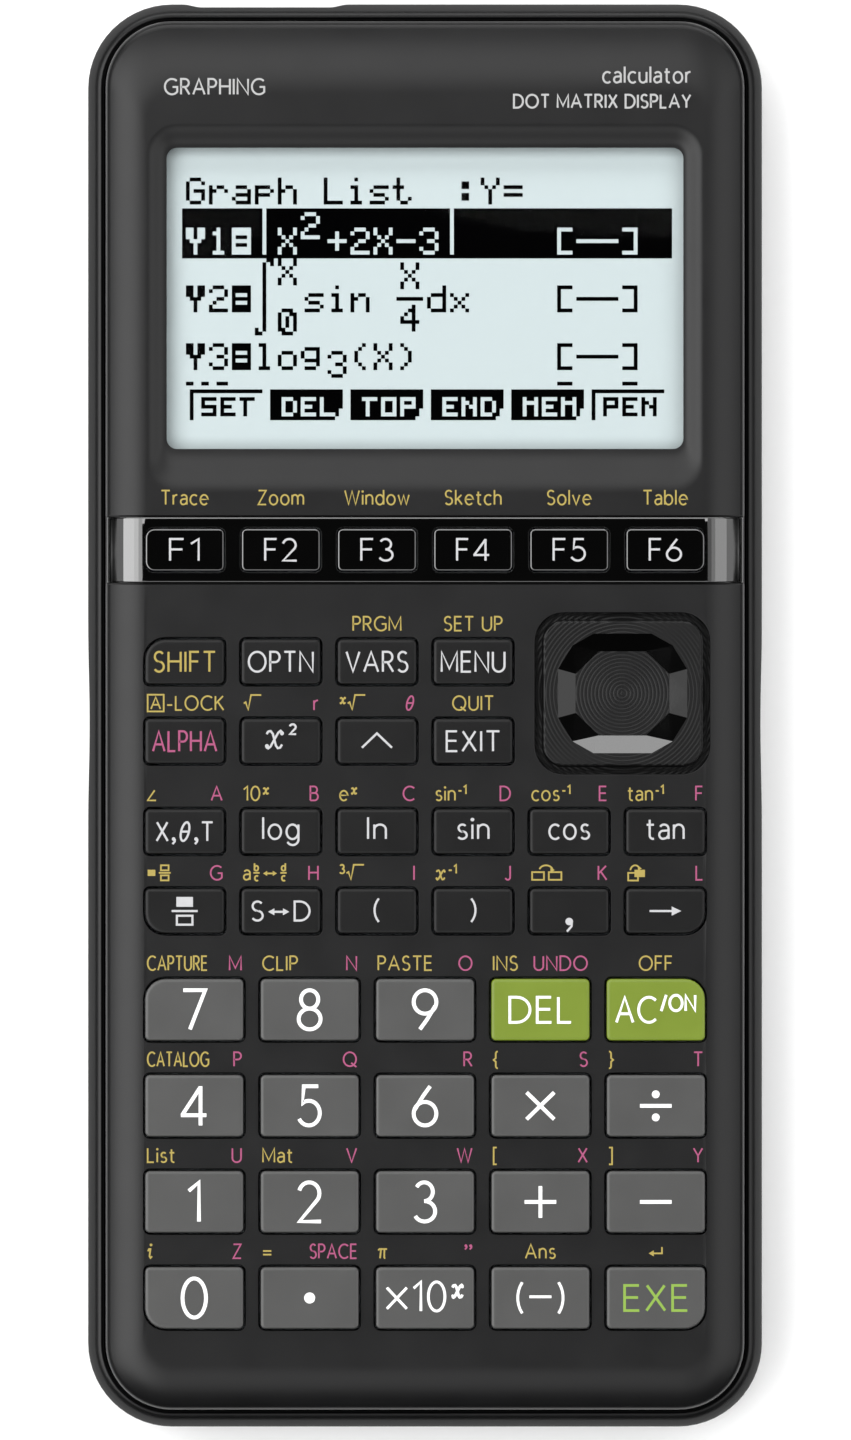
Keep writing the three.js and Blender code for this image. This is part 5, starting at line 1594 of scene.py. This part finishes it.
class CALCULATOR_OT_inner_parts(bpy.types.Operator):
    """Gives the key mat, the circuit board and the pad's post their finishes"""
    bl_idname = "calculator.inner_parts"
    bl_label = "Inner Parts"

    def execute(self, context):
        for node, name in (("key_mat", "grey_silicone"), ("circuit_board", "board_laminate"),
                           ("cursor_pad_post", "socket_black")):
            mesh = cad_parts[node].data
            mesh.materials.clear()
            mesh.materials.append(finish(name))
        return {"FINISHED"}


# ---- Stage ----

def add_lamp(name, low, high, height, brightness):
    """A flat lamp facing down, over a rectangle from one corner to the other."""
    width, depth = high[0] - low[0], high[1] - low[1]
    data = bpy.data.lights.new(name, "AREA")
    data.shape, data.size, data.size_y = "RECTANGLE", width, depth
    data.energy = brightness * math.pi * width * depth
    lamp = bpy.data.objects.new(name, data)
    lamp.location = ((low[0] + high[0]) / 2, (low[1] + high[1]) / 2, height)
    bpy.context.scene.collection.objects.link(lamp)


class CALCULATOR_OT_stage(bpy.types.Operator):
    """Sets the pale floor, the soft lamps and the camera"""
    bl_idname = "calculator.stage"
    bl_label = "Stage"

    def execute(self, context):
        stage = context.scene.calculator.stage
        flat, bend, sides = 4600.0, 1800.0, 64
        turns = [math.radians(t) for t in range(0, 91, 10)]
        rings = [at(circle(flat * part, sides=sides), 0) for part in (0.02, 0.1, 0.3, 0.6)]
        rings += [at(circle(flat + bend * math.sin(t), sides=sides), bend * (1 - math.cos(t))) for t in turns]
        sweep = Shape()
        sweep.rings(rings[::-1], capped=False)
        sweep.face(*range(len(sweep.points) - sides, len(sweep.points)))
        floor = new_object("floor", sweep, [finish("floor_paper")])
        smooth(floor, 60)
        height = stage.lamp_height

        def spans(*angles):
            return [height * math.tan(math.radians(a)) for a in angles]

        long = 1.0
        for side, angles, brightness, steps in ((-1, (11, 17, 24, 54, 66), stage.left, (0.55, 0.85, 1.0, 0.2)),
                                                (1, (11, 17, 23, 54, 66), stage.right, (0.3, 0.6, 1.0, 0.5))):
            edges = spans(*angles)
            for number, part in enumerate(steps):
                near, far = edges[number] * side, edges[number + 1] * side
                add_lamp(f"side_lamp_{side}_{number}", (min(near, far), -long), (max(near, far), long), height,
                         brightness * part)
        for number, (side, brightness, wide, angles) in enumerate((
                (1, stage.top, 0.8, (11, 33)), (-1, stage.bottom, 0.8, (13, 40)), (1, stage.far, 1.9, (50, 67)))):
            near, far = (a * side for a in spans(*angles))
            add_lamp(f"end_lamp_{number}", (-wide, min(near, far)), (wide, max(near, far)), height, brightness)
        world = bpy.data.worlds.new("studio")
        world.use_nodes = True
        world.node_tree.nodes["Background"].inputs["Color"].default_value = (0.8, 0.8, 0.8, 1.0)
        world.node_tree.nodes["Background"].inputs["Strength"].default_value = WORLD_STRENGTH
        context.scene.world = world
        box = Box("front_case")
        data = bpy.data.cameras.new("camera")
        data.sensor_width = 36.0
        data.lens = data.sensor_width * stage.camera_height / stage.picture_height
        camera = bpy.data.objects.new("camera", data)
        camera.location = (0.06 * MM, -0.56 * MM, box.high.z * MM + stage.camera_height)
        context.scene.collection.objects.link(camera)
        context.scene.camera = camera
        context.scene.view_settings.view_transform = "Standard"
        return {"FINISHED"}


OPERATORS = [CALCULATOR_OT_stage, CALCULATOR_OT_rear_shell, CALCULATOR_OT_front_shell, CALCULATOR_OT_display,
             CALCULATOR_OT_function_strip, CALCULATOR_OT_function_keys, CALCULATOR_OT_small_keys,
             CALCULATOR_OT_large_keys, CALCULATOR_OT_cursor_pad, CALCULATOR_OT_legends, CALCULATOR_OT_sockets,
             CALCULATOR_OT_battery_cover, CALCULATOR_OT_battery_parts, CALCULATOR_OT_screws,
             CALCULATOR_OT_inner_parts]


class CALCULATOR_PT_panel(bpy.types.Panel):
    """Lists the calculator's pieces"""
    bl_idname = "CALCULATOR_PT_panel"
    bl_label = "Graphing Calculator"
    bl_space_type = "VIEW_3D"
    bl_region_type = "UI"
    bl_category = "Calculator"

    def draw(self, context):
        for operator in OPERATORS:
            self.layout.operator(operator.bl_idname, text=operator.bl_label)
        for group in ("case", "keys", "ink", "finishes", "stage"):
            settings = getattr(context.scene.calculator, group)
            column = self.layout.column(align=True)
            column.label(text=type(settings).__doc__)
            for name in type(settings).__annotations__:
                column.prop(settings, name)


GROUPS = [CaseSizes, KeySizes, InkSizes, Finishes, StageSettings, CalculatorSettings]


def register():
    for kind in GROUPS + OPERATORS + [CALCULATOR_PT_panel]:
        bpy.utils.register_class(kind)
    bpy.types.Scene.calculator = bpy.props.PointerProperty(type=CalculatorSettings)


def unregister():
    del bpy.types.Scene.calculator
    for kind in reversed(GROUPS + OPERATORS + [CALCULATOR_PT_panel]):
        bpy.utils.unregister_class(kind)


def main():
    register()
    for operator in OPERATORS:
        package, name = operator.bl_idname.split(".")
        getattr(getattr(bpy.ops, package), name)()


if __name__ == "__main__":
    main()
